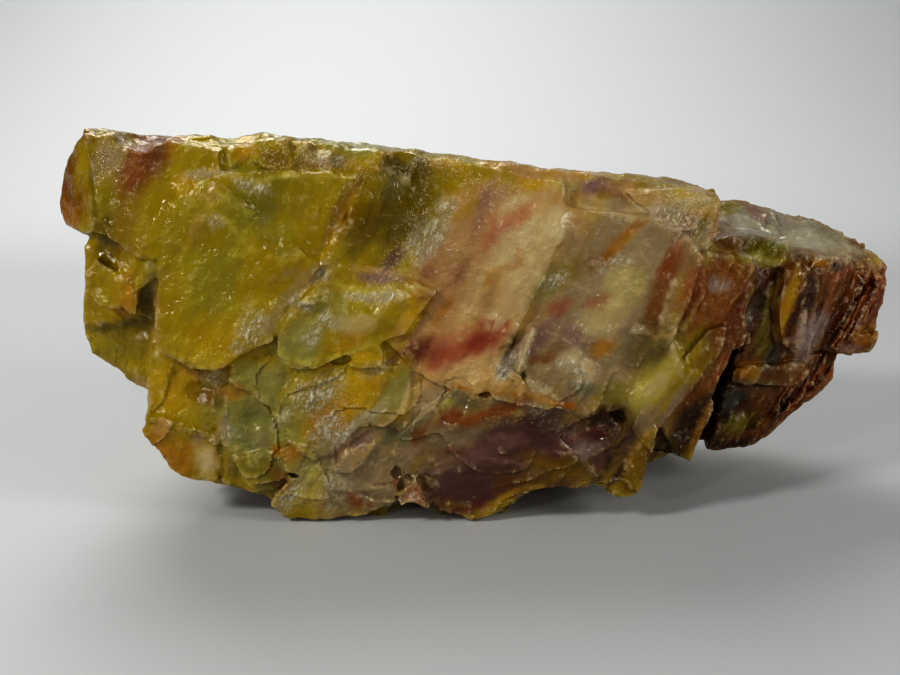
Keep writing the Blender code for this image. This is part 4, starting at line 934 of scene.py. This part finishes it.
def scoop(name, middle, half_axes, turn):
    """An ellipsoid that takes a shell-shaped scar out of the stone."""
    bm = bmesh.new()
    bmesh.ops.create_uvsphere(bm, u_segments=32, v_segments=20, radius=MM)
    turned = Euler((0, np.radians(turn), 0)).to_matrix().to_4x4()
    bm.transform(Matrix.Translation(Vector(middle) * MM) @ turned @ Matrix.Diagonal((*half_axes, 1)))
    return new_object(name, bm)


def group(name, objects):
    """Moves working shapes into a collection of their own, shown as wires and never rendered."""
    made = bpy.data.collections.new(name)
    bpy.context.scene.collection.children.link(made)
    for obj in objects:
        bpy.context.scene.collection.objects.unlink(obj)
        made.objects.link(obj)
        obj.display_type = "WIRE"
        obj.hide_render = True
    return made


def combine(stone, operation, others):
    """Joins a collection to the stone, or cuts it out."""
    step = stone.modifiers.new(operation.lower(), "BOOLEAN")
    step.operation = operation
    step.operand_type = "COLLECTION"
    step.collection = others
    step.solver = "EXACT"


def settle(obj):
    """Replaces an object's mesh by what its modifiers make of it."""
    graph = bpy.context.evaluated_depsgraph_get()
    mesh = bpy.data.meshes.new_from_object(obj.evaluated_get(graph))
    obj.modifiers.clear()
    obj.data = mesh


def largest_shell(mesh):
    """Keeps the one outer shell, and drops bubbles left between masses."""
    bm = bmesh.new()
    bm.from_mesh(mesh)
    left = set(bm.verts)
    shells = []
    while left:
        front = [left.pop()]
        shell = set(front)
        while front:
            for edge in front.pop().link_edges:
                for vert in edge.verts:
                    if vert in left:
                        left.remove(vert)
                        shell.add(vert)
                        front.append(vert)
        shells.append(shell)
    shells.sort(key=len)
    for shell in shells[:-1]:
        bmesh.ops.delete(bm, geom=list(shell), context="VERTS")
    bm.to_mesh(mesh)
    bm.free()


def hashed(cell, seed):
    """A number from 0 to 1 for each whole-number cell, always the same for the same cell."""
    mixed = (cell[..., 0] * SCATTER[0] + cell[..., 1] * SCATTER[1] + cell[..., 2] * SCATTER[2]
             + seed * SCATTER[3]) & SCATTER_BITS
    mixed = ((mixed ^ (mixed >> 13)) * SCATTER[4]) & SCATTER_BITS
    mixed = ((mixed ^ (mixed >> 15)) * SCATTER[1]) & SCATTER_BITS
    return (mixed ^ (mixed >> 16)) / (SCATTER_BITS + 1.0)


def wander(points, size, seed=0):
    """Smooth noise from about -1 to 1 that changes over a size in millimetres."""
    place = points / size
    cell = np.floor(place).astype(np.int64)
    part = place - cell
    ease = part * part * part * (part * (part * 6 - 15) + 10)
    total = np.zeros(len(points))
    for corner in np.ndindex(2, 2, 2):
        step = np.array(corner)
        weight = np.prod(np.where(step, ease, 1 - ease), axis=1)
        slope = sum((hashed(cell + step, seed * 3 + axis) * 2 - 1) * (part - step)[:, axis]
                    for axis in range(3))
        total += weight * slope
    return total * 1.7


def cracked(points, size, seed=0):
    """Cells of about a size: how far the nearest centre is, in cells, and the nearest one's number."""
    place = points / size
    cell = np.floor(place).astype(np.int64)
    near = np.full(len(points), 9.0)
    number = np.zeros(len(points))
    for step in np.ndindex(3, 3, 3):
        other = cell + np.array(step) - 1
        centre = other + np.stack([hashed(other, seed * 5 + axis) for axis in range(3)], axis=1)
        gap = np.linalg.norm(place - centre, axis=1)
        closer = gap < near
        number = np.where(closer, hashed(other, seed * 5 + 4), number)
        near = np.where(closer, gap, near)
    return near, number


def fade(value, low, high):
    """0 below low, 1 above high, and a smooth climb between."""
    t = np.clip((value - low) / (high - low), 0.0, 1.0)
    return t * t * (3.0 - 2.0 * t)


def stretched(points, times):
    """The same points with the grain direction shortened, so that noise on them runs along the grain."""
    grain = np.array(GRAIN)
    along = points @ grain
    return points + np.outer(along * (1.0 / times - 1.0), grain)


class Skin:
    """The points of a mesh in millimetres, with what is worked out from them."""

    def __init__(self, mesh):
        self.mesh = mesh
        self.count = len(mesh.vertices)
        flat = np.empty(self.count * 3, np.float32)
        mesh.vertices.foreach_get("co", flat)
        self.points = flat.reshape(-1, 3).astype(float) / MM
        pairs = np.empty(len(mesh.edges) * 2, np.int32)
        mesh.edges.foreach_get("vertices", pairs)
        self.edges = pairs.reshape(-1, 2)
        self.links = np.bincount(self.edges.ravel(), minlength=self.count)

    def smoothed(self, values, rounds):
        """Values averaged over the neighbours, a number of times."""
        values = np.array(values, float)
        table = values.reshape(self.count, -1)
        first, second = self.edges[:, 0], self.edges[:, 1]
        for _ in range(rounds):
            sums = [np.bincount(first, column[second], self.count)
                    + np.bincount(second, column[first], self.count) for column in table.T]
            table = (np.stack(sums, axis=1) / self.links[:, None] + table) / 2
        return table.reshape(values.shape)

    def normals(self):
        """The direction that the skin faces at each point."""
        self.write()
        flat = np.empty(self.count * 3, np.float32)
        self.mesh.vertices.foreach_get("normal", flat)
        return flat.reshape(-1, 3).astype(float)

    def standing_out(self, rounds):
        """How far each point stands out of the skin around it: below 0 in a groove."""
        return ((self.points - self.smoothed(self.points, rounds)) * self.normals()).sum(axis=1)

    def write(self):
        """Puts the points back in the mesh."""
        self.mesh.vertices.foreach_set("co", (self.points * MM).astype(np.float32).ravel())
        self.mesh.update()

    def keep(self, name, values):
        """Stores one number for each point under a name that the material reads."""
        layer = self.mesh.attributes.new(name, "FLOAT", "POINT")
        layer.data.foreach_set("value", values.astype(np.float32))

    def keep_colour(self, name, colours):
        """Stores one linear colour for each point under a name that the material reads."""
        layer = self.mesh.attributes.new(name, "FLOAT_COLOR", "POINT")
        table = np.ones((self.count, 4), np.float32)
        table[:, :3] = colours
        layer.data.foreach_set("color", table.ravel())


def scarps(points, size, seed):
    """A surface of low overlapping steps: it climbs slowly and drops at once, in curved lines."""
    level = wander(points, size, seed) * 2.0 + wander(points, size * 0.35, seed + 1) * 0.15
    level += points @ np.array((0.045, 0.0, -0.05))
    return level - np.floor(level)


def faces_of(points, broad):
    """How far each point belongs to the fibrous right end, to the back and to the crest, from 0 to 1."""
    x, y, z = points.T
    end_face = fade(x, 44, 58) * fade(broad[:, 0] - 0.25 * broad[:, 1], 0.2, 0.6)
    back_face = fade(y, 4, 16) * fade(broad[:, 1], 0.15, 0.6)
    crest = fade(z, *CREST_HEIGHT) * fade(broad[:, 2], 0.1, 0.5) * fade(-y, *FRONT_EDGE)
    return end_face, back_face, crest


def carve(skin):
    """Gives the skin its sway, wear, lumps, low steps, fibres, grit, facets and bitten arrises."""
    sway = [wander(skin.points, WIDE_SWAY[0], 11 + axis) * WIDE_SWAY[1]
            + wander(skin.points, FINE_SWAY[0], 21 + axis) * FINE_SWAY[1] for axis in range(3)]
    skin.points += np.stack(sway, axis=1)
    worn = marks(skin.points, WORN, 0) * fade(-skin.points[:, 1], *FRONT_EDGE)
    skin.points += (skin.smoothed(skin.points, WEAR_ROUNDS) - skin.points) * worn[:, None]
    points, normals = skin.points.copy(), skin.normals()
    end_face, back_face, crest = faces_of(points, skin.smoothed(normals, 12))
    front = fade(-points[:, 1], *FRONT_EDGE)
    rough = 1 - CALM_SHARE * marks(points, CALM, 0) * front
    lump = wander(points, WIDE_LUMPS[0], 1) * WIDE_LUMPS[1]
    lump = lump + wander(points, FINE_LUMPS[0], 2) * FINE_LUMPS[1] * rough
    low_front = fade(-points[:, 2], *LOW_FRONT) * front
    step = np.zeros(len(points))
    for place, (size, height, more), seed in (
            (points, WIDE_STEPS, 3), (stretched(points, 2), FINE_STEPS, 13)):
        step += (scarps(place, size, seed) - 0.5) * (height + more * low_front)
    along = stretched(points, 9)
    ridge = 1 - 2 * np.abs(wander(along, WIDE_FIBRES[0], 5))
    fine_ridge = 1 - 2 * np.abs(wander(along, FINE_FIBRES[0], 6))
    fibres = ridge * WIDE_FIBRES[1] + fine_ridge * FINE_FIBRES[1]
    fibres = fibres * np.maximum(0.9 * end_face, 0.7 * back_face)
    grit = (0.9 - 1.6 * cracked(points, CREST_GRIT[0], 7)[0]) * crest * CREST_GRIT[1]
    facets = (cracked(stretched(points, 1.6), WIDE_FACETS[0], 31)[0] ** 2 - 0.35) * WIDE_FACETS[1]
    facets += (cracked(points, FINE_FACETS[0], 33)[0] ** 2 - 0.35) * FINE_FACETS[1]
    skin.points += normals * (lump + fibres + grit + (step + facets) * rough * (1 - end_face))[:, None]
    edge = skin.standing_out(6)
    near, number = cracked(skin.points, BITES[0], 9)
    bite = fade(edge, *BITTEN_ARRIS) * fade(number, 0.45, 0.6) * fade(-near, -0.75, -0.2) * BITES[1]
    skin.points -= normals * bite[:, None]
    skin.points[:, 2] = np.maximum(skin.points[:, 2], 0.0)
    skin.write()


def keep_fibres(skin, broad):
    """Stores where the skin is fibrous."""
    end_face, back_face, _ = faces_of(skin.points, broad)
    skin.keep("fibres", np.clip(np.maximum(end_face, back_face), 0, 1))


def linear(code):
    """An sRGB hex value as three linear numbers."""
    parts = [int(code[i:i + 2], 16) / 255 for i in (1, 3, 5)]
    return [p / 12.92 if p <= 0.04045 else ((p + 0.055) / 1.055) ** 2.4 for p in parts]


def viewer():
    """Where the viewer's eye is, in the stone's own millimetres."""
    lift = math.radians(VIEW_ELEVATION)
    x, y, z = LOOKED_AT
    return np.array((x, y - VIEW_DISTANCE * math.cos(lift), z + VIEW_DISTANCE * math.sin(lift)))


def on_sheet(points, sheet_y):
    """The x and z at which the viewer sees each point on an upright sheet."""
    eye = viewer()
    reach = (sheet_y - eye[1]) / (points[:, 1] - eye[1])
    return eye[0] + reach * (points[:, 0] - eye[0]), eye[2] + reach * (points[:, 2] - eye[2])


def patch_share(x, z, ragged, middle_x, middle_z, half_long, half_wide, turn):
    """How much of a soft patch there is at each place, from 0 to 1."""
    angle = math.radians(turn)
    along = (x - middle_x) * math.cos(angle) + (z - middle_z) * math.sin(angle)
    across = (z - middle_z) * math.cos(angle) - (x - middle_x) * math.sin(angle)
    return 1 - fade(np.hypot(along / half_long, across / half_wide) + ragged, *PATCH_EDGE)


def line_share(x, z, route, half_width):
    """How much of a thin line there is at each place, from 0 to 1."""
    nearest = np.full(len(x), 99.0)
    for (x0, z0), (x1, z1) in zip(route, route[1:]):
        run = (x1 - x0) ** 2 + (z1 - z0) ** 2
        share = np.clip(((x - x0) * (x1 - x0) + (z - z0) * (z1 - z0)) / run, 0, 1)
        nearest = np.minimum(nearest, np.hypot(x - x0 - share * (x1 - x0), z - z0 - share * (z1 - z0)))
    return 1 - fade(nearest, half_width * 0.5, half_width * 1.5)


def swayed(points, x, z, much):
    """Places with a wavering added, so that no patch has a clean outline."""
    along = stretched(points, 3)
    x = x + much * (wander(along, 8, 41) * 1.9 + wander(along, 3, 42) * 0.8)
    z = z + much * (wander(along, 8, 43) * 1.9 + wander(along, 3, 44) * 0.8)
    return x, z


def raggedness(points):
    """What makes the outlines of the patches ragged, in streaks along the grain."""
    along = stretched(points, 7)
    return wander(along, 4.0, 61) * 0.24 + wander(along, 1.7, 62) * 0.18 + wander(along, 0.8, 63) * 0.10


def lay(colours, hue, share):
    """Lays a hue over the colours, by its share at each point."""
    return colours + (np.array(linear(HUES[hue])) - colours) * share[:, None]


def painted(points, sheet_y, ground, patches, lines):
    """The colours of one side of the stone."""
    x, z = on_sheet(points, sheet_y)
    colours = lay(np.zeros((len(points), 3)), ground, np.ones(len(points)))
    far_x, far_z = swayed(points, x, z, 1.0)
    ragged = raggedness(points)
    for hue, *place, strength in patches:
        colours = lay(colours, hue, patch_share(far_x, far_z, ragged, *place) * strength)
    near_x, near_z = swayed(points, x, z, 0.3)
    for hue, route, half_width, strength in lines:
        broken = 0.75 + 0.5 * wander(points, 3.5, 47)
        share = line_share(near_x, near_z, route, half_width) * broken
        colours = lay(colours, hue, np.clip(share, 0, 1) * strength)
    return colours


def minerals(points, broad):
    """The colour of every point of the skin, front, right end and back."""
    front = painted(points, SHEET_Y, "mustard", PATCHES, LINES)
    end = painted(points, END_SHEET_Y, "brown", END_PATCHES, END_LINES)
    x, y, z = points.T
    line_x, line_foot = END_LINE_START
    past_line = x - line_x - np.maximum(z - line_foot, 0) * END_LINE_LEAN
    beyond = fade(past_line, 1.5, 3.5) * fade(y, -19, -14)
    beyond = np.maximum(beyond, fade(x, 47, 52) * fade(y, -14, -8))
    seen = front + (end - front) * beyond[:, None]
    bx, bz = swayed(points, x, z, 1.6)
    back = lay(np.zeros_like(front), "taupe", np.ones(len(points)))
    ragged = raggedness(points)
    for hue, *place, strength in BACK_PATCHES:
        back = lay(back, hue, patch_share(bx, bz, ragged, *place) * strength)
    to_eye = viewer() - points
    facing = (broad * to_eye).sum(axis=1) / np.linalg.norm(to_eye, axis=1)
    hidden = 1 - fade(facing + 0.1 * wander(points, 9, 51), -0.2, 0.12)
    return seen + (back - seen) * hidden[:, None], hidden


def marks(points, places, hidden):
    """How far each point of the front lies in any of the places, from 0 to 1."""
    x, z = swayed(points, *on_sheet(points, SHEET_Y), 0.8)
    share = np.zeros(len(points))
    ragged = raggedness(points)
    for *place, strength in places:
        share = np.maximum(share, patch_share(x, z, ragged, *place) * strength)
    return share * (1 - hidden)


def add(tree, kind, inputs=None, out=0, **settings):
    """Adds a node and gives back one of its outputs. An input is a value, or an output to link from."""
    node = tree.nodes.new(kind)
    for name, value in settings.items():
        setattr(node, name, value)
    for name, value in (inputs or {}).items():
        if isinstance(value, bpy.types.NodeSocket):
            tree.links.new(value, node.inputs[name])
        else:
            node.inputs[name].default_value = value
    return node.outputs[out]


# Where a colour Mix node has its factor, its two colours and its result.
MIX_FACTOR, MIX_A, MIX_B, MIX_RESULT = 0, 6, 7, 2


def chalcedony_with_iron():
    """Silicified wood: chalcedony with iron oxides, broken by hand. It gives a waxy gloss, a shallow
    glow, streaks of colour along the grain, pale arrises that are partly a painted highlight, and
    grains painted pale as glints where the break is granular."""
    material = bpy.data.materials.new("chalcedony_with_iron")
    material.use_nodes = True
    tree = material.node_tree
    shader = tree.nodes["Principled BSDF"]
    place = add(tree, "ShaderNodeTexCoord", out="Object")
    turn = GRAIN.to_track_quat("Z", "Y").inverted().to_euler()
    turned = add(tree, "ShaderNodeMapping", {"Vector": place, "Rotation": turn})
    along = add(tree, "ShaderNodeMapping", {"Vector": turned, "Scale": (1, 1, 1 / STREAK_STRETCH)})
    feathered = add(tree, "ShaderNodeMapping", {"Vector": turned, "Scale": (1, 1, 1 / FEATHER_STRETCH)})
    mineral = add(tree, "ShaderNodeAttribute", out="Color", attribute_name="mineral")
    fibres, bruise, grainy_with_glints, edge = (
        add(tree, "ShaderNodeAttribute", out="Fac", attribute_name=name)
        for name in ("fibres", "bruise", "grainy_with_glints", "edge"))

    # colour: streaks along the grain, clouds, pale edges (partly a painted highlight), bruises, and
    # grains painted pale as glints
    low, high = NOISE_RANGE
    streaks = add(tree, "ShaderNodeTexNoise", {
        "Vector": along, "Scale": 1 / (STREAK_WIDTH * MM), "Detail": 4.0, "Roughness": 0.65})
    clouds = add(tree, "ShaderNodeTexNoise", {
        "Vector": place, "Scale": 1 / (CLOUD_SIZE * MM), "Detail": 4.0})
    specks = add(tree, "ShaderNodeTexNoise", {
        "Vector": place, "Scale": 1 / (SPECK_SIZE * MM), "Detail": 3.0})
    streak_shade = add(tree, "ShaderNodeMapRange", {
        "Value": streaks, "From Min": low, "From Max": high, "To Min": 0.93, "To Max": 1.07})
    cloud_shade = add(tree, "ShaderNodeMapRange", {
        "Value": clouds, "From Min": low, "From Max": high, "To Min": 0.92, "To Max": 1.08})
    shade = add(tree, "ShaderNodeMath", {0: streak_shade, 1: cloud_shade}, operation="MULTIPLY")
    hue = add(tree, "ShaderNodeMapRange", {
        "Value": clouds, "From Min": low, "From Max": high, "To Min": 0.493, "To Max": 0.507})
    colour = add(tree, "ShaderNodeHueSaturation", {"Color": mineral, "Hue": hue, "Value": shade})
    # pale arrises painted cream: partly chipped stone, partly a painted highlight where a thin edge
    # catches the light
    rim_chips_and_highlight = add(tree, "ShaderNodeMapRange", {
        "Value": specks, "From Min": 0.4, "From Max": 0.62, "To Min": 0.1, "To Max": 1.0})
    rim_chips_and_highlight = add(tree, "ShaderNodeMath", {0: edge, 1: rim_chips_and_highlight}, operation="MULTIPLY")
    rim_chips_and_highlight = add(tree, "ShaderNodeMath", {0: rim_chips_and_highlight, 1: EDGE_CHIPS_AND_HIGHLIGHT}, operation="MULTIPLY")
    cream, white = ((*linear(HUES[name]), 1) for name in ("cream", "white"))
    colour = add(tree, "ShaderNodeMix", {
        MIX_FACTOR: rim_chips_and_highlight, MIX_A: colour, MIX_B: cream}, MIX_RESULT, data_type="RGBA")
    feathers = add(tree, "ShaderNodeTexNoise", {
        "Vector": feathered, "Scale": 1 / (FEATHER_SIZE * MM), "Detail": 8.0, "Roughness": 0.75,
        "Distortion": 0.6})
    feathers = add(tree, "ShaderNodeMapRange", {
        "Value": feathers, "From Min": 0.46, "From Max": 0.57, "To Min": 0.0, "To Max": 0.95})
    feathers = add(tree, "ShaderNodeMath", {0: feathers, 1: bruise}, operation="MULTIPLY")
    haze = add(tree, "ShaderNodeMath", {0: bruise, 1: HAZE}, operation="MULTIPLY")
    colour = add(tree, "ShaderNodeMix", {
        MIX_FACTOR: haze, MIX_A: colour, MIX_B: cream}, MIX_RESULT, data_type="RGBA")
    colour = add(tree, "ShaderNodeMix", {
        MIX_FACTOR: feathers, MIX_A: colour, MIX_B: white}, MIX_RESULT, data_type="RGBA")
    grains = add(tree, "ShaderNodeTexVoronoi", {
        "Vector": place, "Scale": 1 / (GRAIN_SIZE * MM)}, out="Color")
    grain_cone = grains.node.outputs["Distance"]
    grain_tone = add(tree, "ShaderNodeSeparateColor", {"Color": grains})
    # painted glint: a few grains in granular places are painted cream, as glints that show under any
    # light
    spark = add(tree, "ShaderNodeMapRange", {
        "Value": grain_tone, "From Min": 0.86, "From Max": 0.92, "To Min": 0.0, "To Max": PAINTED_GLINT})
    spark = add(tree, "ShaderNodeMath", {0: spark, 1: grainy_with_glints}, operation="MULTIPLY")
    colour = add(tree, "ShaderNodeMix", {
        MIX_FACTOR: spark, MIX_A: colour, MIX_B: cream}, MIX_RESULT, data_type="RGBA")
    tree.links.new(colour, shader.inputs["Base Color"])

    # gloss: waxy on the clean breaks, dull on the fibrous faces
    rough = add(tree, "ShaderNodeMapRange", {
        "Value": clouds, "From Min": low, "From Max": high, "To Min": GLOSS[0], "To Max": GLOSS[1]})
    dull = add(tree, "ShaderNodeMath", {0: fibres, 1: FIBRE_DULLNESS}, operation="MULTIPLY")
    rough = add(tree, "ShaderNodeMath", {0: rough, 1: dull}, operation="ADD")
    tree.links.new(rough, shader.inputs["Roughness"])
    shader.inputs["IOR"].default_value = CHALCEDONY_IOR
    shader.inputs["Specular IOR Level"].default_value = SHEEN
    shader.inputs["Subsurface Weight"].default_value = GLOW
    shader.inputs["Subsurface Scale"].default_value = GLOW_DEPTH * MM
    shader.inputs["Subsurface Radius"].default_value = GLOW_REACH

    # relief too fine for the mesh: ripples of the break, grains and fibres
    ripples = add(tree, "ShaderNodeTexNoise", {
        "Vector": place, "Scale": 1 / (RIPPLE_SIZE * MM), "Detail": 4.0, "Roughness": 0.55})
    lively = add(tree, "ShaderNodeMapRange", {
        "Value": clouds, "From Min": 0.35, "From Max": 0.65, "To Min": CALM_RIPPLES, "To Max": 1.0})
    ripples = add(tree, "ShaderNodeMath", {0: ripples, 1: lively}, operation="MULTIPLY")
    normal = add(tree, "ShaderNodeBump", {"Height": ripples, "Distance": RIPPLE_HEIGHT * MM})
    crushed = add(tree, "ShaderNodeMath", {0: grainy_with_glints, 1: bruise}, operation="MAXIMUM")
    grain_height = add(tree, "ShaderNodeMath", {0: grain_cone, 1: crushed}, operation="MULTIPLY")
    normal = add(tree, "ShaderNodeBump", {
        "Height": grain_height, "Distance": GRAIN_HEIGHT * MM, "Normal": normal})
    thread_height = add(tree, "ShaderNodeMath", {0: streaks, 1: fibres}, operation="MULTIPLY")
    normal = add(tree, "ShaderNodeBump", {
        "Height": thread_height, "Distance": FIBRE_HEIGHT * MM, "Normal": normal})
    normal = add(tree, "ShaderNodeBump", {
        "Height": feathers, "Distance": FEATHER_HEIGHT * MM, "Normal": normal})
    tree.links.new(normal, shader.inputs["Normal"])
    return material


def matt_paper():
    """The pale sheet that the stone rests on: smooth matt paper, which gives a soft even ground."""
    material = bpy.data.materials.new("matt_paper")
    material.use_nodes = True
    shader = material.node_tree.nodes["Principled BSDF"]
    shader.inputs["Base Color"].default_value = (*linear(PAPER), 1)
    shader.inputs["Roughness"].default_value = PAPER_ROUGHNESS
    shader.inputs["Specular IOR Level"].default_value = PAPER_SHEEN
    return material


def shaped_stone():
    """The stone from its masses, flakes, splinters and scoops, as one closed mesh in its own frame."""
    pieces = [hull(name, corners) for name, corners in MASSES.items()]
    pieces += [flake(name, *spec) for name, spec in FLAKES.items()]
    pieces += [flake(name, *spec, depth=-FLAKE_DEPTH) for name, spec in BACK_FLAKES.items()]
    for row in SPLINTER_ROWS.values():
        pieces += splinters(row)
    stone = pieces.pop(list(MASSES).index("belly"))
    stone.name = PIECE
    scoops = [scoop(name, *spec) for name, spec in SCOOPS.items()]
    scoops.append(hull("split", SPLIT))
    joined, cutters = group("joined", pieces), group("cutters", scoops)
    combine(stone, "UNION", joined)
    combine(stone, "DIFFERENCE", cutters)
    settle(stone)
    for obj in pieces + scoops:
        bpy.data.objects.remove(obj)
    for collection in (joined, cutters):
        bpy.data.collections.remove(collection)
    skin = stone.modifiers.new("one_skin", "REMESH")
    skin.mode = "VOXEL"
    skin.voxel_size = SKIN_VOXEL * MM
    settle(stone)
    largest_shell(stone.data)
    return stone


def thinned(stone):
    """Brings the skin under the most triangles that a piece may have, flat places first."""
    step = stone.modifiers.new("thinned", "DECIMATE")
    step.ratio = MOST_TRIANGLES / (2 * len(stone.data.polygons))
    step.use_collapse_triangulate = True
    settle(stone)


def dress(stone):
    """Carves the fine relief, paints the minerals and puts the stone where its solid is."""
    carve(Skin(stone.data))
    thinned(stone)
    skin = Skin(stone.data)
    broad = skin.smoothed(skin.normals(), 8)
    keep_fibres(skin, broad)
    colours, hidden = minerals(skin.points, broad)
    skin.keep_colour("mineral", colours)
    skin.keep("bruise", marks(skin.points, BRUISES, hidden))
    skin.keep("grainy_with_glints", marks(skin.points, GRAINY_WITH_GLINTS, hidden))
    # the arrises that are painted pale: partly chipped stone, partly a painted highlight
    skin.keep("edge", fade(skin.standing_out(3), *PALE_AND_LIT_ARRIS))
    low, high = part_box(NODE)
    offset = (low + high) / 2 / MM - Vector((skin.points.min(axis=0) + skin.points.max(axis=0)) / 2)
    offset.z = 0.0
    skin.points += np.array(offset)
    skin.write()
    stone.data.shade_smooth()
    stone.data.set_sharp_from_angle(angle=math.radians(SHARP_ANGLE))
    stone.data.materials.clear()
    stone.data.materials.append(chalcedony_with_iron())
    return offset


def aimed(obj, place, target):
    """Puts a lamp or camera at a place and turns it to a target, both in metres."""
    obj.location = place
    obj.rotation_euler = (Vector(target) - Vector(place)).to_track_quat("-Z", "Y").to_euler()
    bpy.context.scene.collection.objects.link(obj)
    return obj


def soft_lamp(name, place, target, size, power):
    """A square soft box."""
    lamp = bpy.data.lights.new(name, "AREA")
    lamp.size = size
    lamp.energy = power
    return aimed(bpy.data.objects.new(name, lamp), place, target)


def light_the_stone():
    """A window at the left, lamps at the right, behind and on the wall, three small ones that bring out
    the glints, and an even light all around."""
    for name, spec in LAMPS.items():
        soft_lamp(name, *spec)
    world = bpy.data.worlds.new("room")
    world.use_nodes = True
    air = world.node_tree.nodes["Background"]
    air.inputs["Color"].default_value = (*linear(ROOM_TINT), 1)
    air.inputs["Strength"].default_value = ROOM_LIGHT
    bpy.context.scene.world = world


def paper_sweep():
    """A pale sheet that lies flat under the stone and curves up behind it."""
    bm = bmesh.new()
    half = SWEEP_WIDTH / 2
    profile = [(-SWEEP_FRONT, 0.0), (SWEEP_BACK, 0.0)]
    for step in range(1, SWEEP_STEPS + 1):
        angle = math.pi / 2 * step / SWEEP_STEPS
        reach, climb = SWEEP_RADIUS * math.sin(angle), SWEEP_RADIUS * (1 - math.cos(angle))
        profile.append((SWEEP_BACK + reach, climb))
    profile.append((profile[-1][0], SWEEP_HEIGHT))
    rows = [[bm.verts.new((side, y, z)) for y, z in profile] for side in (-half, half)]
    for index in range(len(profile) - 1):
        bm.faces.new((rows[0][index], rows[1][index], rows[1][index + 1], rows[0][index + 1]))
    sheet = new_object("paper_sweep", bm)
    sheet.data.shade_smooth()
    sheet.data.materials.append(matt_paper())


def set_camera(offset):
    """The camera where the photograph was taken from, in the frame of the solid."""
    camera = bpy.data.cameras.new("viewer")
    camera.lens = LENS
    camera.sensor_width = SENSOR
    camera.clip_start = 0.01
    target = (Vector(LOOKED_AT) + offset) * MM
    place = (Vector(viewer()) + offset) * MM
    bpy.context.scene.camera = aimed(bpy.data.objects.new("viewer", camera), place, target)


def main():
    """Makes the stone, stands it in for its solid, and sets the camera, the lamps and the paper."""
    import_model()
    stone = shaped_stone()
    offset = dress(stone)
    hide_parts(NODE)
    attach(stone, "root")
    set_camera(offset)
    light_the_stone()
    paper_sweep()
    picture = bpy.context.scene.view_settings
    picture.view_transform = "Standard"
    picture.look = LOOK
    picture.exposure = EXPOSURE


main()
